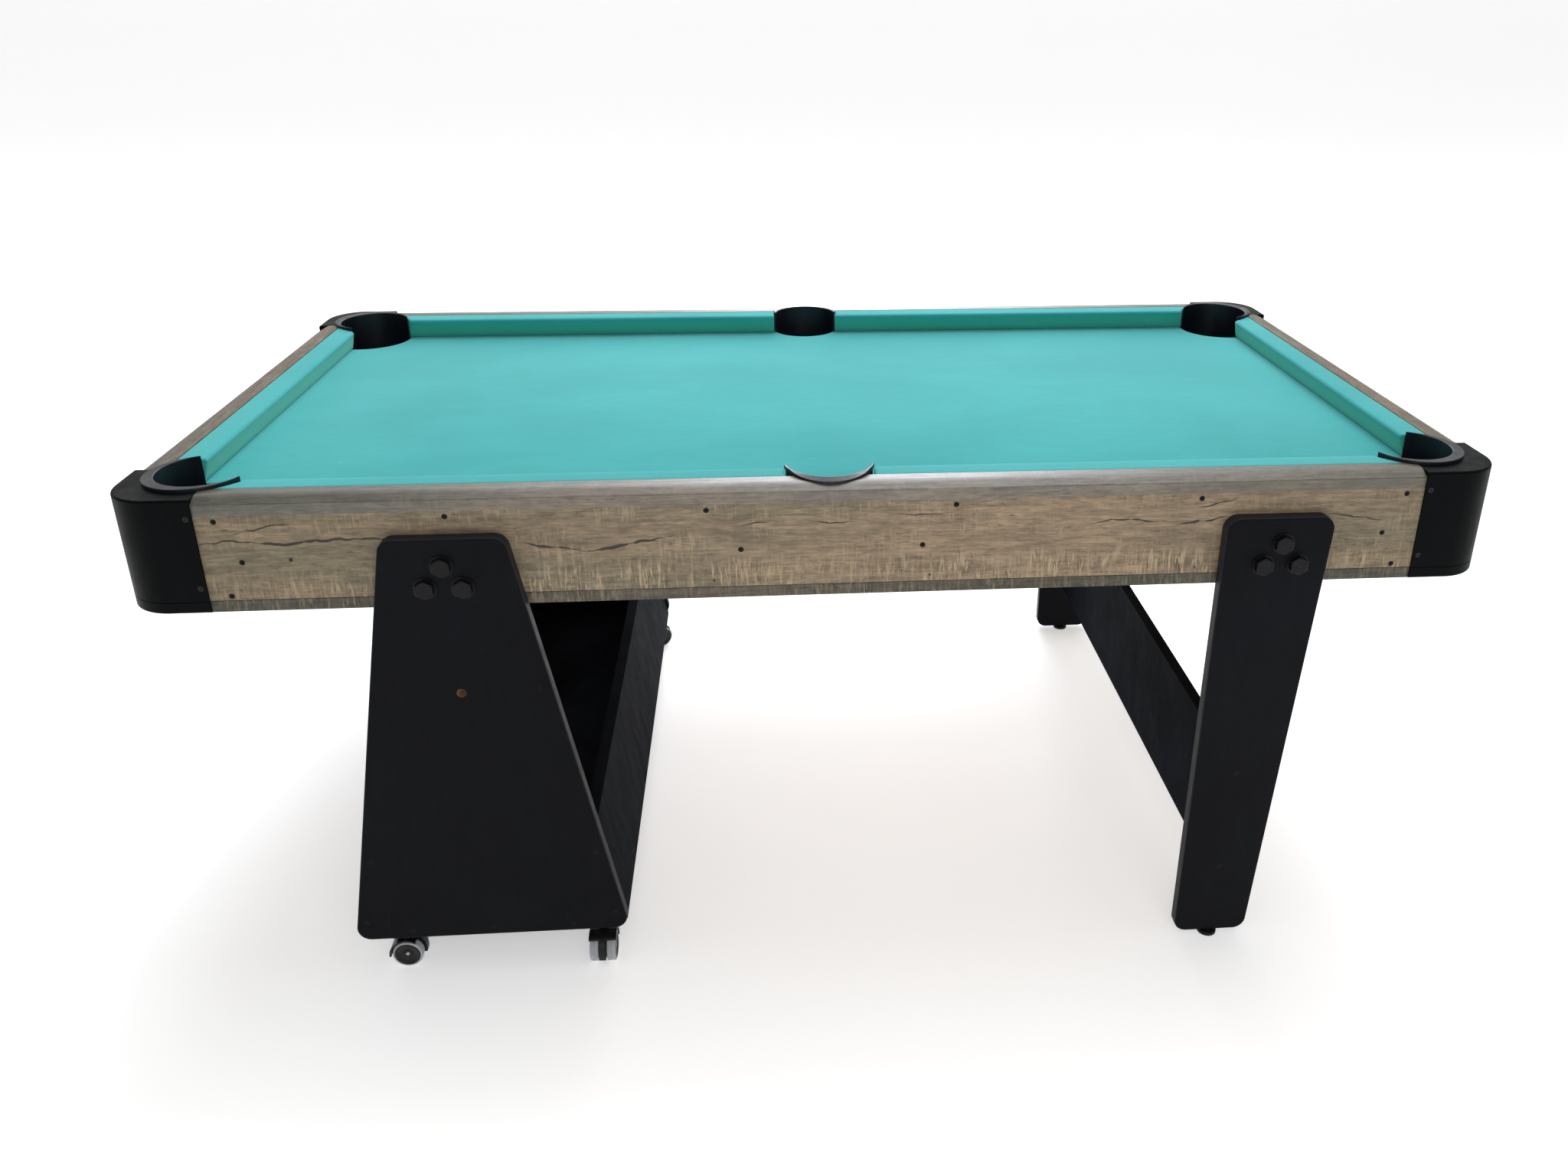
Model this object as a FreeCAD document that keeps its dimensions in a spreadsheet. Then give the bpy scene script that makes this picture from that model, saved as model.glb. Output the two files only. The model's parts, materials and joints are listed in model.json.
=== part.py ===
import FreeCAD, Part
import math
import os
import re

import Sketcher

# Six-foot pool table: a laminated cabinet with six drop pockets, carried at the
# left by a trapezoid base on four casters and at the right by two tapered legs.
# Origin: the floor, under the middle of the cabinet. +X runs along the cabinet
# towards the two tapered legs, +Y towards the back, +Z up. Millimetres.

SIZES = {
    # cabinet
    "cabinet_length": 1900,
    "cabinet_width": 1028,
    "rail_top": 786,
    "rail_thick": 24,
    "rail_width": 38,
    "rail_fall": 8,
    "rail_fall_wide": 15,
    "rail_round": 20,
    "rail_arris": 2,
    "apron_thick": 15,
    "apron_bottom": 640,
    "apron_setback": 70,
    "trim_bottom": 623,
    "trim_depth": 40,
    "trim_edge": 1.2,
    "batten_depth": 20,
    "batten_clear": 6,
    "block_face": 60,
    "block_thick": 14,
    "block_under": 645,
    "block_height": 115,
    # bed
    "bed_top": 749,
    "cloth_thick": 1,
    "board_thick": 15,
    "board_gap": 0.5,
    "board_corner": 106,
    "beam_thick": 18,
    "beam_height": 70,
    # cushions
    "cushion_depth": 38,
    "nose_drop": 6,
    "nose_round": 5,
    "nose_overhang": 7,
    "nose_dip": 1,
    "cushion_gap": 0.3,
    # corner caps
    "cap_leg": 116,
    "cap_proud": 3,
    "cap_round": 65,
    "cap_top": 4,
    "cap_edge": 3.5,
    "cap_foot_edge": 2.5,
    "cap_groove": 1,
    # pockets; distances run inwards from the cabinet's corner or side
    "corner_hole": 62,
    "corner_centre": 98.7,
    "corner_collar": 67.1,
    "corner_collar_centre": 90.9,
    "corner_mouth": 160,
    "corner_front": 77.2,
    "corner_front_centre": 109,
    "side_hole": 60,
    "side_back_centre": 81.7,
    "side_front_centre": 39,
    "side_collar": 58.5,
    "side_collar_centre": 67,
    "side_mouth": 69.5,
    "side_wing": 60.5,
    "liner_wall": 2.5,
    "collar_height": 5,
    "cup_floor": 670,
    "pocket_gap": 0.3,
    # left base
    "panel_thick": 18,
    "panel_round": 20,
    "panel_rim": 3,
    "base_centre": 518,
    "base_top": 729,
    "base_bottom": 70,
    "base_top_half": 82,
    "base_slope": 0.187,
    "side_board_top": 255,
    "side_board_inset": 5,
    "base_floor_under": 73,
    "peep_hole": 6,
    "peep_hole_up": 495,
    # right legs
    "leg_inner": 548.5,
    "leg_outer_top": 705,
    "leg_outer_foot": 664,
    "leg_bottom": 8,
    "leg_bolt_centre": 632,
    "brace_centre": 612,
    "brace_under": 108,
    "brace_height": 217,
    # bolts, their washers and nuts
    "base_bolt_centre": 522,
    "bolt_shank": 6,
    "bolt_clearance": 0.1,
    "bolt_side": 25,
    "bolt_low": 658,
    "bolt_high": 690,
    "bolt_across": 24,
    "bolt_head": 7.5,
    "bolt_crown": 0.5,
    "nut_across": 18,
    "nut_height": 10,
    "washer_outer": 16,
    "washer_thick": 1.5,
    "bolt_tail": 3,
    "hole_overrun": 1,
    "tool_reach": 300,
    # levelling feet
    "foot_centre": 606,
    "foot_pad": 15,
    "foot_pad_height": 5,
    "foot_pad_edge": 1,
    "foot_collar": 7,
    "foot_stem": 4,
    "foot_stem_top": 33,
    "insert_outer": 5.5,
    "insert_height": 18,
    "foot_fit": 0.05,
    "foot_room": 0.5,
    "foot_room_above": 5,
    # casters
    "caster_across": 160,
    "caster_back": 494,
    "wheel_size": 23,
    "wheel_width": 14,
    "wheel_inside": 6,
    "wheel_round": 3,
    "wheel_edge": 1,
    "hub_size": 14,
    "hub_recess": 2,
    "axle_size": 3,
    "trail": 20,
    "hood_gap": 1.6,
    "hood_wall": 2.4,
    "hood_half": 21,
    "hood_front": 14,
    "hood_below_axle": 2,
    "web_below_axle": 8,
    "web_half": 5,
    "boss_size": 9,
    "boss_under": 46,
    "stem_size": 4,
    "stem_under": 40,
    "stem_end_gap": 0.5,
    "caster_fit": 0.05,
    "swivel_gap": 0.3,
    "plate_half": 16,
    "plate_thick": 2.5,
    "plate_round": 4,
    "plate_screw_inset": 5,
    # wood screws
    "screw_head": 3.8,
    "screw_head_deep": 2.5,
    "screw_shank": 1.9,
    "screw_sunk": 0.5,
    "screw_fit": 0.1,
    "recess_half": 2.2,
    "recess_slot": 0.8,
    "recess_deep": 1.2,
}

# Screw places on the front and back aprons: distance from the middle, height, length
APRON_SCREWS = [(809, 754, 30), (514, 754, 30), (170, 754, 30),
                (783, 695, 14), (125, 695, 14), (805, 646, 14)]
END_SCREWS = [(380, 754, 30), (120, 754, 30), (360, 646, 14)]
CAP_SCREWS = [759, 659]
CAP_SCREW_INSET = 8
CAP_SCREW_LENGTH = 14
BASE_SCREW_HEIGHTS = [213, 102]
BASE_FLOOR_SCREWS = [-120, 0, 120]
BRACE_SCREWS = [(614, 307), (608, 132)]
PANEL_SCREW_LENGTH = 45
PLATE_SCREW_LENGTH = 14
BEAM_PLACES = [-740, -235, 235, 740]

# Rest angle of each caster about its stem: 0 trails the wheel towards +X
CASTERS = {
    "front_left": (-1, -1, 0),
    "front_right": (1, -1, -90),
    "back_left": (-1, 1, 150),
    "back_right": (1, 1, 35),
}

Z_AXIS = FreeCAD.Vector(0, 0, 1)
doc = FreeCAD.newDocument("PoolTable")
parts = {}


# ---------------------------------------------------------------- helpers

def make_sheet():
    sheet = doc.addObject("Spreadsheet::Sheet", "Sizes")
    for row, (name, value) in enumerate(SIZES.items(), 1):
        sheet.set("A%d" % row, name)
        sheet.set("B%d" % row, str(value))
        sheet.setAlias("B%d" % row, name)
    doc.recompute()
    return sheet


sheet = make_sheet()


def linked(text):
    """The expression with each size's name turned into a reference to the sheet."""
    def refer(word):
        return "Sizes." + word.group() if word.group() in SIZES else word.group()
    return re.sub("[a-z_]+", refer, str(text))


def value(text):
    result = sheet.evalExpression(linked(text))
    return float(getattr(result, "Value", result))


def bind(thing, **sizes):
    for name, text in sizes.items():
        thing.setExpression(name, linked(text))


def place(thing, at_x="0", at_y="0", at_z="0", turn=0, axis=Z_AXIS):
    """Puts an object at a bound point, turned by a fixed angle."""
    point = FreeCAD.Vector(value(at_x), value(at_y), value(at_z))
    thing.Placement = FreeCAD.Placement(point, FreeCAD.Rotation(axis, turn))
    for letter, text in zip("xyz", (at_x, at_y, at_z)):
        thing.setExpression(".Placement.Base." + letter, linked(text))
    return thing


def box(name, low, high):
    """A block between two corners, each a triple of expressions."""
    block = doc.addObject("Part::Box", name)
    for side, first, last in zip(("Length", "Width", "Height"), low, high):
        bind(block, **{side: "(%s) - (%s)" % (last, first)})
    place(block, *low)
    return block


def cylinder(name, centre, radius, height, axis=None):
    """A cylinder from its base centre; axis turns +Z onto another direction."""
    rod = doc.addObject("Part::Cylinder", name)
    bind(rod, Radius=radius, Height=height)
    place(rod, *centre)
    if axis:
        rod.Placement = FreeCAD.Placement(rod.Placement.Base, FreeCAD.Rotation(Z_AXIS, axis))
    return rod


def cut(name, base, *tools):
    result = doc.addObject("Part::Cut", name)
    result.Base = base
    result.Tool = tools[0] if len(tools) == 1 else fuse(name + "_tools", *tools)
    return result


def fuse(name, *pieces):
    result = doc.addObject("Part::MultiFuse", name)
    result.Shapes = list(pieces)
    return result


def common(name, *pieces):
    result = doc.addObject("Part::MultiCommon", name)
    result.Shapes = list(pieces)
    return result


def body(name):
    return doc.addObject("PartDesign::Body", name)


def sketch(owner, name, role, offset="0"):
    """A sketch on one of the body's own origin planes, moved along its normal."""
    plane = next(item for item in owner.Origin.OriginFeatures if item.Role == role)
    drawing = owner.newObject("Sketcher::SketchObject", name)
    drawing.AttachmentSupport = [(plane, "")]
    drawing.MapMode = "FlatFace"
    drawing.setExpression(".AttachmentOffset.Base.z", linked(offset))
    return drawing


def pin_point(drawing, geometry, end, across, up):
    """Holds one point of the sketch at bound distances from the origin."""
    for kind, text in (("DistanceX", across), ("DistanceY", up)):
        number = drawing.addConstraint(Sketcher.Constraint(kind, -1, 1, geometry, end, value(text)))
        drawing.setExpression("Constraints[%d]" % number, linked(text))


def polygon(drawing, points):
    """A closed outline through points given as pairs of expressions."""
    spots = [FreeCAD.Vector(value(across), value(up), 0) for across, up in points]
    first = drawing.GeometryCount
    count = len(spots)
    for index in range(count):
        drawing.addGeometry(Part.LineSegment(spots[index], spots[(index + 1) % count]))
    for index in range(count):
        following = first + (index + 1) % count
        drawing.addConstraint(Sketcher.Constraint("Coincident", first + index, 2, following, 1))
        pin_point(drawing, first + index, 1, *points[index])
    return drawing


def circle(drawing, across, up, radius):
    spot = FreeCAD.Vector(value(across), value(up), 0)
    number = drawing.addGeometry(Part.Circle(spot, Z_AXIS, value(radius)))
    pin_point(drawing, number, 3, across, up)
    held = drawing.addConstraint(Sketcher.Constraint("Radius", number, value(radius)))
    drawing.setExpression("Constraints[%d]" % held, linked(radius))
    return drawing


def pad(owner, drawing, length, backwards=False, middle=False):
    made = owner.newObject("PartDesign::Pad", drawing.Name + "_pad")
    made.Profile = drawing
    bind(made, Length=length)
    made.Reversed = backwards
    made.Midplane = middle
    return made


def pocket(owner, drawing, length, backwards=False, middle=False):
    """Cuts the drawing out of the body, and stops if nothing was cut."""
    doc.recompute()
    before = owner.Shape.Volume
    made = owner.newObject("PartDesign::Pocket", drawing.Name + "_pocket")
    made.Profile = drawing
    bind(made, Length=length)
    made.Reversed = backwards
    made.Midplane = middle
    doc.recompute()
    if owner.Shape.Volume > before - 0.01:
        raise ValueError(made.Name + " cuts nothing")
    return made


def revolve(owner, drawing):
    made = owner.newObject("PartDesign::Revolution", drawing.Name + "_turned")
    made.Profile = drawing
    made.ReferenceAxis = (drawing, ["V_Axis"])
    made.Angle = 360
    return made


def round_edges(owner, radius, wanted):
    """Rounds the edges of the body's last feature whose middle passes the test."""
    doc.recompute()
    last = owner.Tip
    edges = enumerate(last.Shape.Edges, 1)
    names = ["Edge%d" % number for number, edge in edges if wanted(edge.CenterOfMass)]
    if not names:
        raise ValueError(owner.Name + " has no such edge")
    made = owner.newObject("PartDesign::Fillet", owner.Name + "_round%d" % len(owner.Group))
    made.Base = (last, names)
    bind(made, Radius=radius)
    doc.recompute()
    if "Invalid" in made.State or "Error" in made.State:
        raise ValueError("%s cannot be rounded by %s" % (owner.Name, radius))
    return made


def near(first, second):
    return abs(first - second) < 0.05


def keep(name, thing):
    """Names a finished sub-part, and so its file."""
    thing.Label = name
    parts[name] = thing
    return thing


def group(name, shapes):
    """Identical fasteners as one node of separate solids."""
    made = doc.addObject("Part::Feature", name)
    made.Shape = Part.makeCompound(shapes)
    return keep(name, made)


def toward(direction):
    """The placement rotation that turns +Z onto a direction."""
    return FreeCAD.Rotation(Z_AXIS, FreeCAD.Vector(*direction))


def rod_shape(point, direction, radius, length):
    return Part.makeCylinder(radius, length, FreeCAD.Vector(*point), FreeCAD.Vector(*direction))


# Each side of the cabinet has a frame of its own: x along the side, y from the
# cabinet's edge inwards, z up from the floor.
HALF_LENGTH = "cabinet_length / 2"
HALF_WIDTH = "cabinet_width / 2"
SIDES = {
    "front": ("0", "-cabinet_width / 2", 0, HALF_LENGTH),
    "back": ("0", "cabinet_width / 2", 180, HALF_LENGTH),
    "left": ("-cabinet_length / 2", "0", -90, HALF_WIDTH),
    "right": ("cabinet_length / 2", "0", 90, HALF_WIDTH),
}
# Each corner has one too: x and y run inwards along the two sides that meet there.
CORNERS = {
    "front_left": ("-cabinet_length / 2", "-cabinet_width / 2", 0),
    "front_right": ("cabinet_length / 2", "-cabinet_width / 2", 90),
    "back_right": ("cabinet_length / 2", "cabinet_width / 2", 180),
    "back_left": ("-cabinet_length / 2", "cabinet_width / 2", -90),
}


def on_side(thing, side):
    at_x, at_y, turn, _ = SIDES[side]
    return place(thing, at_x, at_y, "0", turn)


def on_corner(thing, corner, extra_turn=0):
    at_x, at_y, turn = CORNERS[corner]
    return place(thing, at_x, at_y, "0", turn + extra_turn)


def side_point(side, along, inward, up):
    """A point in a side's frame, in the table's frame."""
    at_x, at_y, turn, _ = SIDES[side]
    spot = FreeCAD.Rotation(Z_AXIS, turn).multVec(FreeCAD.Vector(along, inward, 0))
    return (value(at_x) + spot.x, value(at_y) + spot.y, up)


def side_inward(side):
    spot = FreeCAD.Rotation(Z_AXIS, SIDES[side][2]).multVec(FreeCAD.Vector(0, 1, 0))
    return (round(spot.x), round(spot.y), 0)


# ------------------------------------------------------------- wood screws

def screw_shape(point, direction, length):
    """A countersunk screw whose head lies just under the face at the point."""
    sunk = value("screw_sunk")
    inward = FreeCAD.Vector(*direction)
    start = FreeCAD.Vector(*point) + inward * sunk
    head = Part.makeCylinder(value("screw_head"), value("screw_head_deep"), start, inward)
    shank = Part.makeCylinder(value("screw_shank"), length - sunk, start, inward)
    cross = screw_recess(start, inward)
    return head.fuse(shank).cut(cross).removeSplitter()


def screw_recess(start, inward):
    """The cross recess of a screw head."""
    long_half, short_half = value("recess_half"), value("recess_slot / 2")
    blades = []
    for width, height in ((long_half, short_half), (short_half, long_half)):
        corner = FreeCAD.Vector(-width, -height, 0)
        blades.append(Part.makeBox(2 * width, 2 * height, value("recess_deep"), corner))
    recess = blades[0].fuse(blades[1])
    recess.Placement = FreeCAD.Placement(start, FreeCAD.Rotation(Z_AXIS, inward))
    return recess


def screw_room(point, direction, length):
    """The counterbore and the bored hole that a screw needs."""
    inward = FreeCAD.Vector(*direction)
    start = FreeCAD.Vector(*point)
    wide = Part.makeCylinder(value("screw_head + screw_fit"), value("screw_head_deep + screw_sunk"),
                             start, inward)
    narrow = Part.makeCylinder(value("screw_shank + screw_fit"), length + value("screw_fit"), start, inward)
    return wide.fuse(narrow)


def screw_rooms(spots):
    return [screw_room(*spot) for spot in spots]


def holes(name, shapes):
    made = doc.addObject("Part::Feature", name)
    made.Shape = Part.makeCompound(shapes)
    return made


def apron_screw_places(side):
    table = APRON_SCREWS if side in ("front", "back") else END_SCREWS
    spots = []
    for along, up, length in table:
        for sign in (-1, 1):
            spots.append((side_point(side, sign * along, 0, up), side_inward(side), length))
    return spots


def cap_screw_places(side):
    edge = value(SIDES[side][3]) - value("cap_leg") + CAP_SCREW_INSET
    proud = value("cap_proud")
    spots = []
    for up in CAP_SCREWS:
        for sign in (-1, 1):
            spots.append((side_point(side, sign * edge, -proud, up), side_inward(side), CAP_SCREW_LENGTH))
    return spots


# ------------------------------------------------- bolts that hold the legs

def bolt_places():
    """Bolt axes as x, height and the side of the table: three on each panel."""
    spots = []
    for centre in (-value("base_bolt_centre"), value("leg_bolt_centre")):
        for shift, up in ((0, "bolt_high"), (-1, "bolt_low"), (1, "bolt_low")):
            for sign in (-1, 1):
                spots.append((centre + shift * value("bolt_side"), value(up), sign))
    return spots


def bolt_room(side_sign):
    """Holes for the bolts on one side of the table, through panel and apron."""
    radius = value("bolt_shank + bolt_clearance")
    reach = value("panel_thick + apron_thick + 2 * hole_overrun")
    outer = side_sign * value("cabinet_width / 2 + panel_thick + hole_overrun")
    return [rod_shape((across, outer, up), (0, -side_sign, 0), radius, reach)
            for across, up, sign in bolt_places() if sign == side_sign]


def hexagon_corners(across_flats):
    """Six points as pairs of expressions."""
    reach = "(%s) / sqrt(3)" % across_flats
    return [("%s * cos(%d deg)" % (reach, angle), "%s * sin(%d deg)" % (reach, angle))
            for angle in range(30, 390, 60)]


def make_bolt():
    """One bolt: a hexagon head with a chamfered crown on a round shank, its axis
    up, with the head's seat at the origin."""
    head = body("bolt_head")
    outline = polygon(sketch(head, "bolt_head_outline", "XY_Plane"), hexagon_corners("bolt_across"))
    pad(head, outline, "bolt_head")
    crown = doc.addObject("Part::Cone", "bolt_crown")
    bind(crown, Radius1="bolt_across", Radius2="bolt_across / 2 - bolt_crown", Height="bolt_head")
    shank_long = "washer_thick + panel_thick + apron_thick + nut_height + bolt_tail"
    shank = cylinder("bolt_shank_rod", ("0", "0", "-(%s)" % shank_long), "bolt_shank", shank_long)
    return fuse("bolt", common("bolt_crowned_head", head, crown), shank)


def make_washer():
    disc = cylinder("washer_disc", ("0", "0", "0"), "washer_outer", "washer_thick")
    return cut("washer", disc, cylinder("washer_hole", ("0", "0", "0"), "bolt_shank", "washer_thick"))


def make_nut():
    block = body("nut_block")
    outline = polygon(sketch(block, "nut_outline", "XY_Plane"), hexagon_corners("nut_across"))
    pad(block, outline, "nut_height")
    return cut("nut", block, cylinder("nut_hole", ("0", "0", "0"), "bolt_shank", "nut_height"))


def on_each_bolt(name, pattern, distance):
    """Copies of a piece on every bolt's axis, at a distance from the table's middle."""
    copies = []
    for across, up, sign in bolt_places():
        copy = pattern.Shape.copy()
        copy.Placement = FreeCAD.Placement(FreeCAD.Vector(across, sign * distance, up), toward((0, sign, 0)))
        copies.append(copy)
    group(name, copies)


def make_leg_bolts():
    bolt, washer, nut = make_bolt(), make_washer(), make_nut()
    doc.recompute()
    outside = value("cabinet_width / 2 + panel_thick")
    on_each_bolt("leg_bolts", bolt, outside + value("washer_thick"))
    on_each_bolt("bolt_washers", washer, outside)
    on_each_bolt("bolt_nuts", nut, value("cabinet_width / 2 - apron_thick - nut_height"))


# ------------------------------------------------------------- the cabinet

def make_apron(side):
    half = SIDES[side][3]
    board = box("apron_%s_board" % side, ("-(%s) + apron_setback" % half, "0", "apron_bottom"),
                ("(%s) - apron_setback" % half, "apron_thick", "rail_top - rail_thick"))
    placed = on_side(carry("apron_%s_placed" % side, board), side)
    room = screw_rooms(apron_screw_places(side) + cap_screw_places(side))
    if side in ("front", "back"):
        room += bolt_room(-1 if side == "front" else 1)
    keep("apron_" + side, cut("apron_" + side, placed, holes("apron_%s_holes" % side, room)))


def carry(name, piece):
    """Wraps a piece made in a side's frame, so that it can be placed as a whole."""
    carried = doc.addObject("Part::Compound", name)
    carried.Links = [piece]
    return carried


def make_trim(side):
    """The plank that closes the cabinet's underside, with a fine edge line."""
    half = SIDES[side][3]
    piece = body("trim_" + side)
    outline = [("0", "trim_bottom"), ("trim_depth", "trim_bottom"), ("trim_depth", "apron_bottom"),
               ("trim_edge", "apron_bottom"), ("0", "apron_bottom - trim_edge")]
    profile = polygon(sketch(piece, "trim_%s_profile" % side, "YZ_Plane"), outline)
    pad(piece, profile, "2 * (%s) - 2 * apron_setback" % half, middle=True)
    keep("trim_" + side, on_side(piece, side))


def make_rail(side):
    """A laminated top rail, notched for the pockets. Its top curves down towards the
    outer face and meets it at an arris."""
    half = SIDES[side][3]
    piece = body("rail_" + side)
    outline = [("0", "rail_top - rail_thick"), ("rail_width", "rail_top - rail_thick"),
               ("rail_width", "rail_top"), ("rail_fall_wide", "rail_top"), ("0", "rail_top - rail_fall")]
    profile = polygon(sketch(piece, "rail_%s_profile" % side, "YZ_Plane"), outline)
    pad(piece, profile, "2 * (%s) - 2 * cap_leg" % half, middle=True)
    bend, arris = value("rail_fall_wide"), value("rail_top - rail_fall")
    round_edges(piece, "rail_round", lambda spot: near(spot.y, bend) and near(spot.x, 0))
    round_edges(piece, "rail_arris", lambda spot: near(spot.y, 0) and near(spot.z, arris) and near(spot.x, 0))
    notch = sketch(piece, "rail_%s_notches" % side, "XY_Plane", "rail_top")
    wide = "corner_hole + liner_wall + pocket_gap"
    circle(notch, "-(%s) + corner_centre" % half, "corner_centre", wide)
    circle(notch, "(%s) - corner_centre" % half, "corner_centre", wide)
    if side in ("front", "back"):
        circle(notch, "0", "side_back_centre", "side_hole + liner_wall + pocket_gap")
    pocket(piece, notch, "2 * rail_thick", middle=True)
    keep("rail_" + side, on_side(piece, side))


def make_batten_group():
    """Strips under the rails that the aprons' long screws bite into."""
    clear = value("side_hole + batten_clear")
    strips = []
    for side in SIDES:
        half = value("(%s) - corner_mouth" % SIDES[side][3])
        spans = [(-half, half)]
        if side in ("front", "back"):
            spans = [(-half, -clear), (clear, half)]
        strips += [make_batten(side, first, last) for first, last in spans]
    group("rail_battens", strips)


def make_batten(side, first, last):
    low = value("bed_top")
    strip = Part.makeBox(last - first, value("batten_depth"), value("rail_top - rail_thick") - low,
                         FreeCAD.Vector(first, value("apron_thick"), low))
    at_x, at_y, turn, _ = SIDES[side]
    strip.Placement = FreeCAD.Placement(FreeCAD.Vector(value(at_x), value(at_y), 0),
                                        FreeCAD.Rotation(Z_AXIS, turn))
    return strip.cut(screw_rooms(apron_screw_places(side)))


def make_cushion(name, side, first, last, corners):
    """A cushion from its plan outline, then its sloping face and soft nose. Its ends
    at the corner pockets are hollowed to fit round the liners."""
    piece = body(name)
    back, nose = "rail_width", "rail_width + cushion_depth"
    plan = [(first, back), (last, back), (last, nose), (first, nose)]
    drawing = polygon(sketch(piece, name + "_plan", "XY_Plane", "bed_top + cushion_gap"), plan)
    pad(piece, drawing, "rail_top - bed_top - cushion_gap")
    beyond, over, under = nose + " + hole_overrun", "rail_top + hole_overrun", "bed_top - hole_overrun"
    face = [(nose + " - nose_overhang", under), (nose, "rail_top - nose_drop - nose_round"),
            (nose, "rail_top - nose_drop"), (nose + " - nose_round", "rail_top - nose_dip"),
            (back, "rail_top"), (back, over), (beyond, over), (beyond, under)]
    waste = polygon(sketch(piece, name + "_face", "YZ_Plane"), face)
    pocket(piece, waste, "2 * cabinet_length", middle=True)
    hollows = sketch(piece, name + "_hollows", "XY_Plane", "rail_top")
    for middle in corners:
        circle(hollows, middle, "corner_centre", "corner_hole + liner_wall + pocket_gap")
    pocket(piece, hollows, "2 * rail_thick + cushion_depth", middle=True)
    keep(name, on_side(piece, side))


def make_cushions():
    inner = "side_hole + liner_wall + pocket_gap"
    pocket_middle = "(%s) - corner_centre"
    for side, names in (("front", ("left", "right")), ("back", ("right", "left"))):
        far = pocket_middle % HALF_LENGTH
        first, second = "cushion_%s_%s" % (side, names[0]), "cushion_%s_%s" % (side, names[1])
        make_cushion(first, side, "-(%s)" % far, "-(%s)" % inner, ["-(%s)" % far])
        make_cushion(second, side, inner, far, [far])
    for side in ("left", "right"):
        far = pocket_middle % HALF_WIDTH
        make_cushion("cushion_" + side, side, "-(%s)" % far, far, ["-(%s)" % far, far])


# ------------------------------------------------------ corners and pockets

def make_cap(corner):
    """A moulded cap: a square shell with one round corner, a groove near its foot
    and a round opening for the pocket."""
    piece = body("corner_cap_" + corner)
    layers = [("foot", "trim_bottom", "apron_bottom - cap_groove", "cap_proud"),
              ("groove", "apron_bottom - cap_groove", "apron_bottom", "cap_proud - cap_groove"),
              ("wall", "apron_bottom", "rail_top", "cap_proud")]
    for layer, low, high, proud in layers:
        corners = [("-(%s)" % proud, "-(%s)" % proud), ("cap_leg", "-(%s)" % proud),
                   ("cap_leg", "cap_leg"), ("-(%s)" % proud, "cap_leg")]
        outline = polygon(sketch(piece, "cap_%s_%s" % (layer, corner), "XY_Plane", low), corners)
        pad(piece, outline, "(%s) - (%s)" % (high, low))
    reach = "cap_leg + hole_overrun"
    inside = [("0", "0"), (reach, "0"), (reach, reach), ("0", reach)]
    hollow = polygon(sketch(piece, "cap_hollow_" + corner, "XY_Plane", "rail_top - cap_top"), inside)
    pocket(piece, hollow, "cabinet_width")
    far = value("cap_leg") - 1
    top, foot = value("rail_top"), value("trim_bottom")
    round_edges(piece, "cap_round - cap_proud", lambda spot: near(spot.x, 0) and near(spot.y, 0))
    round_edges(piece, "cap_round", lambda spot: spot.x < 0 and spot.y < 0 and near(spot.x, spot.y))
    round_edges(piece, "cap_edge", lambda spot: near(spot.z, top) and spot.x < far and spot.y < far)
    round_edges(piece, "cap_foot_edge", lambda spot: near(spot.z, foot) and on_cap_rim(spot, far))
    hole = sketch(piece, "cap_hole_" + corner, "XY_Plane", "rail_top + hole_overrun")
    circle(hole, "corner_centre", "corner_centre", "corner_hole + liner_wall + pocket_gap")
    pocket(piece, hole, "2 * cap_top")
    room = []
    for side in SIDES:
        room += screw_rooms(cap_screw_places(side))
    drilled = cut("cap_drilled_" + corner, on_corner(piece, corner), holes("cap_screw_room_" + corner, room))
    keep("corner_cap_" + corner, drilled)


def on_cap_rim(spot, far):
    """True for the outer edges of a cap's foot, which lie outside the cabinet."""
    return spot.x < far and spot.y < far and (spot.x < -0.1 or spot.y < -0.1 or spot.x + spot.y < 20)


def lens(tag, circles, grow, low, high):
    """The upright space shared by two circles, each given as x, y and radius."""
    rods = []
    for end, (at_x, at_y, radius) in zip(("back", "front"), circles):
        rods.append(cylinder(end + tag, (at_x, at_y, low), "%s + (%s)" % (radius, grow),
                             "(%s) - (%s)" % (high, low)))
    return common("lens" + tag, *rods)


# The two circles of each pocket's well: in the corner diagonal's frame, whose x runs
# inwards, and in the side's frame
CORNER_LENS = [("sqrt(2) * corner_centre", "0", "corner_hole"), ("corner_front_centre", "0", "corner_front")]
SIDE_LENS = [("0", "side_back_centre", "side_hole"), ("0", "side_front_centre", "side_hole")]
UNDER_BOARD = "(bed_top - cloth_thick - board_thick - pocket_gap)"


def make_liner(tag, circles, collar_place, collar_size, cutters):
    """A drop pocket: a lens-shaped cup under the bed, a curved wall behind it with a
    collar that stands above the rail, and blocks that open its front."""
    cup = lens("_cup" + tag, circles, "liner_wall", "cup_floor", UNDER_BOARD)
    well = lens("_well" + tag, circles, "0", "cup_floor + liner_wall", "rail_top")
    at_x, at_y, hole = circles[0]
    wall = cylinder("wall" + tag, (at_x, at_y, UNDER_BOARD), hole + " + liner_wall",
                    "rail_top - " + UNDER_BOARD)
    collar = cylinder("collar" + tag, (*collar_place, "rail_top"), collar_size, "collar_height")
    bore = cylinder("bore" + tag, (at_x, at_y, UNDER_BOARD), hole, "rail_top")
    upper = cut("upper" + tag, fuse("ring" + tag, wall, collar), bore, *cutters)
    return fuse("liner" + tag, cut("lower" + tag, cup, well), upper)


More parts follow.
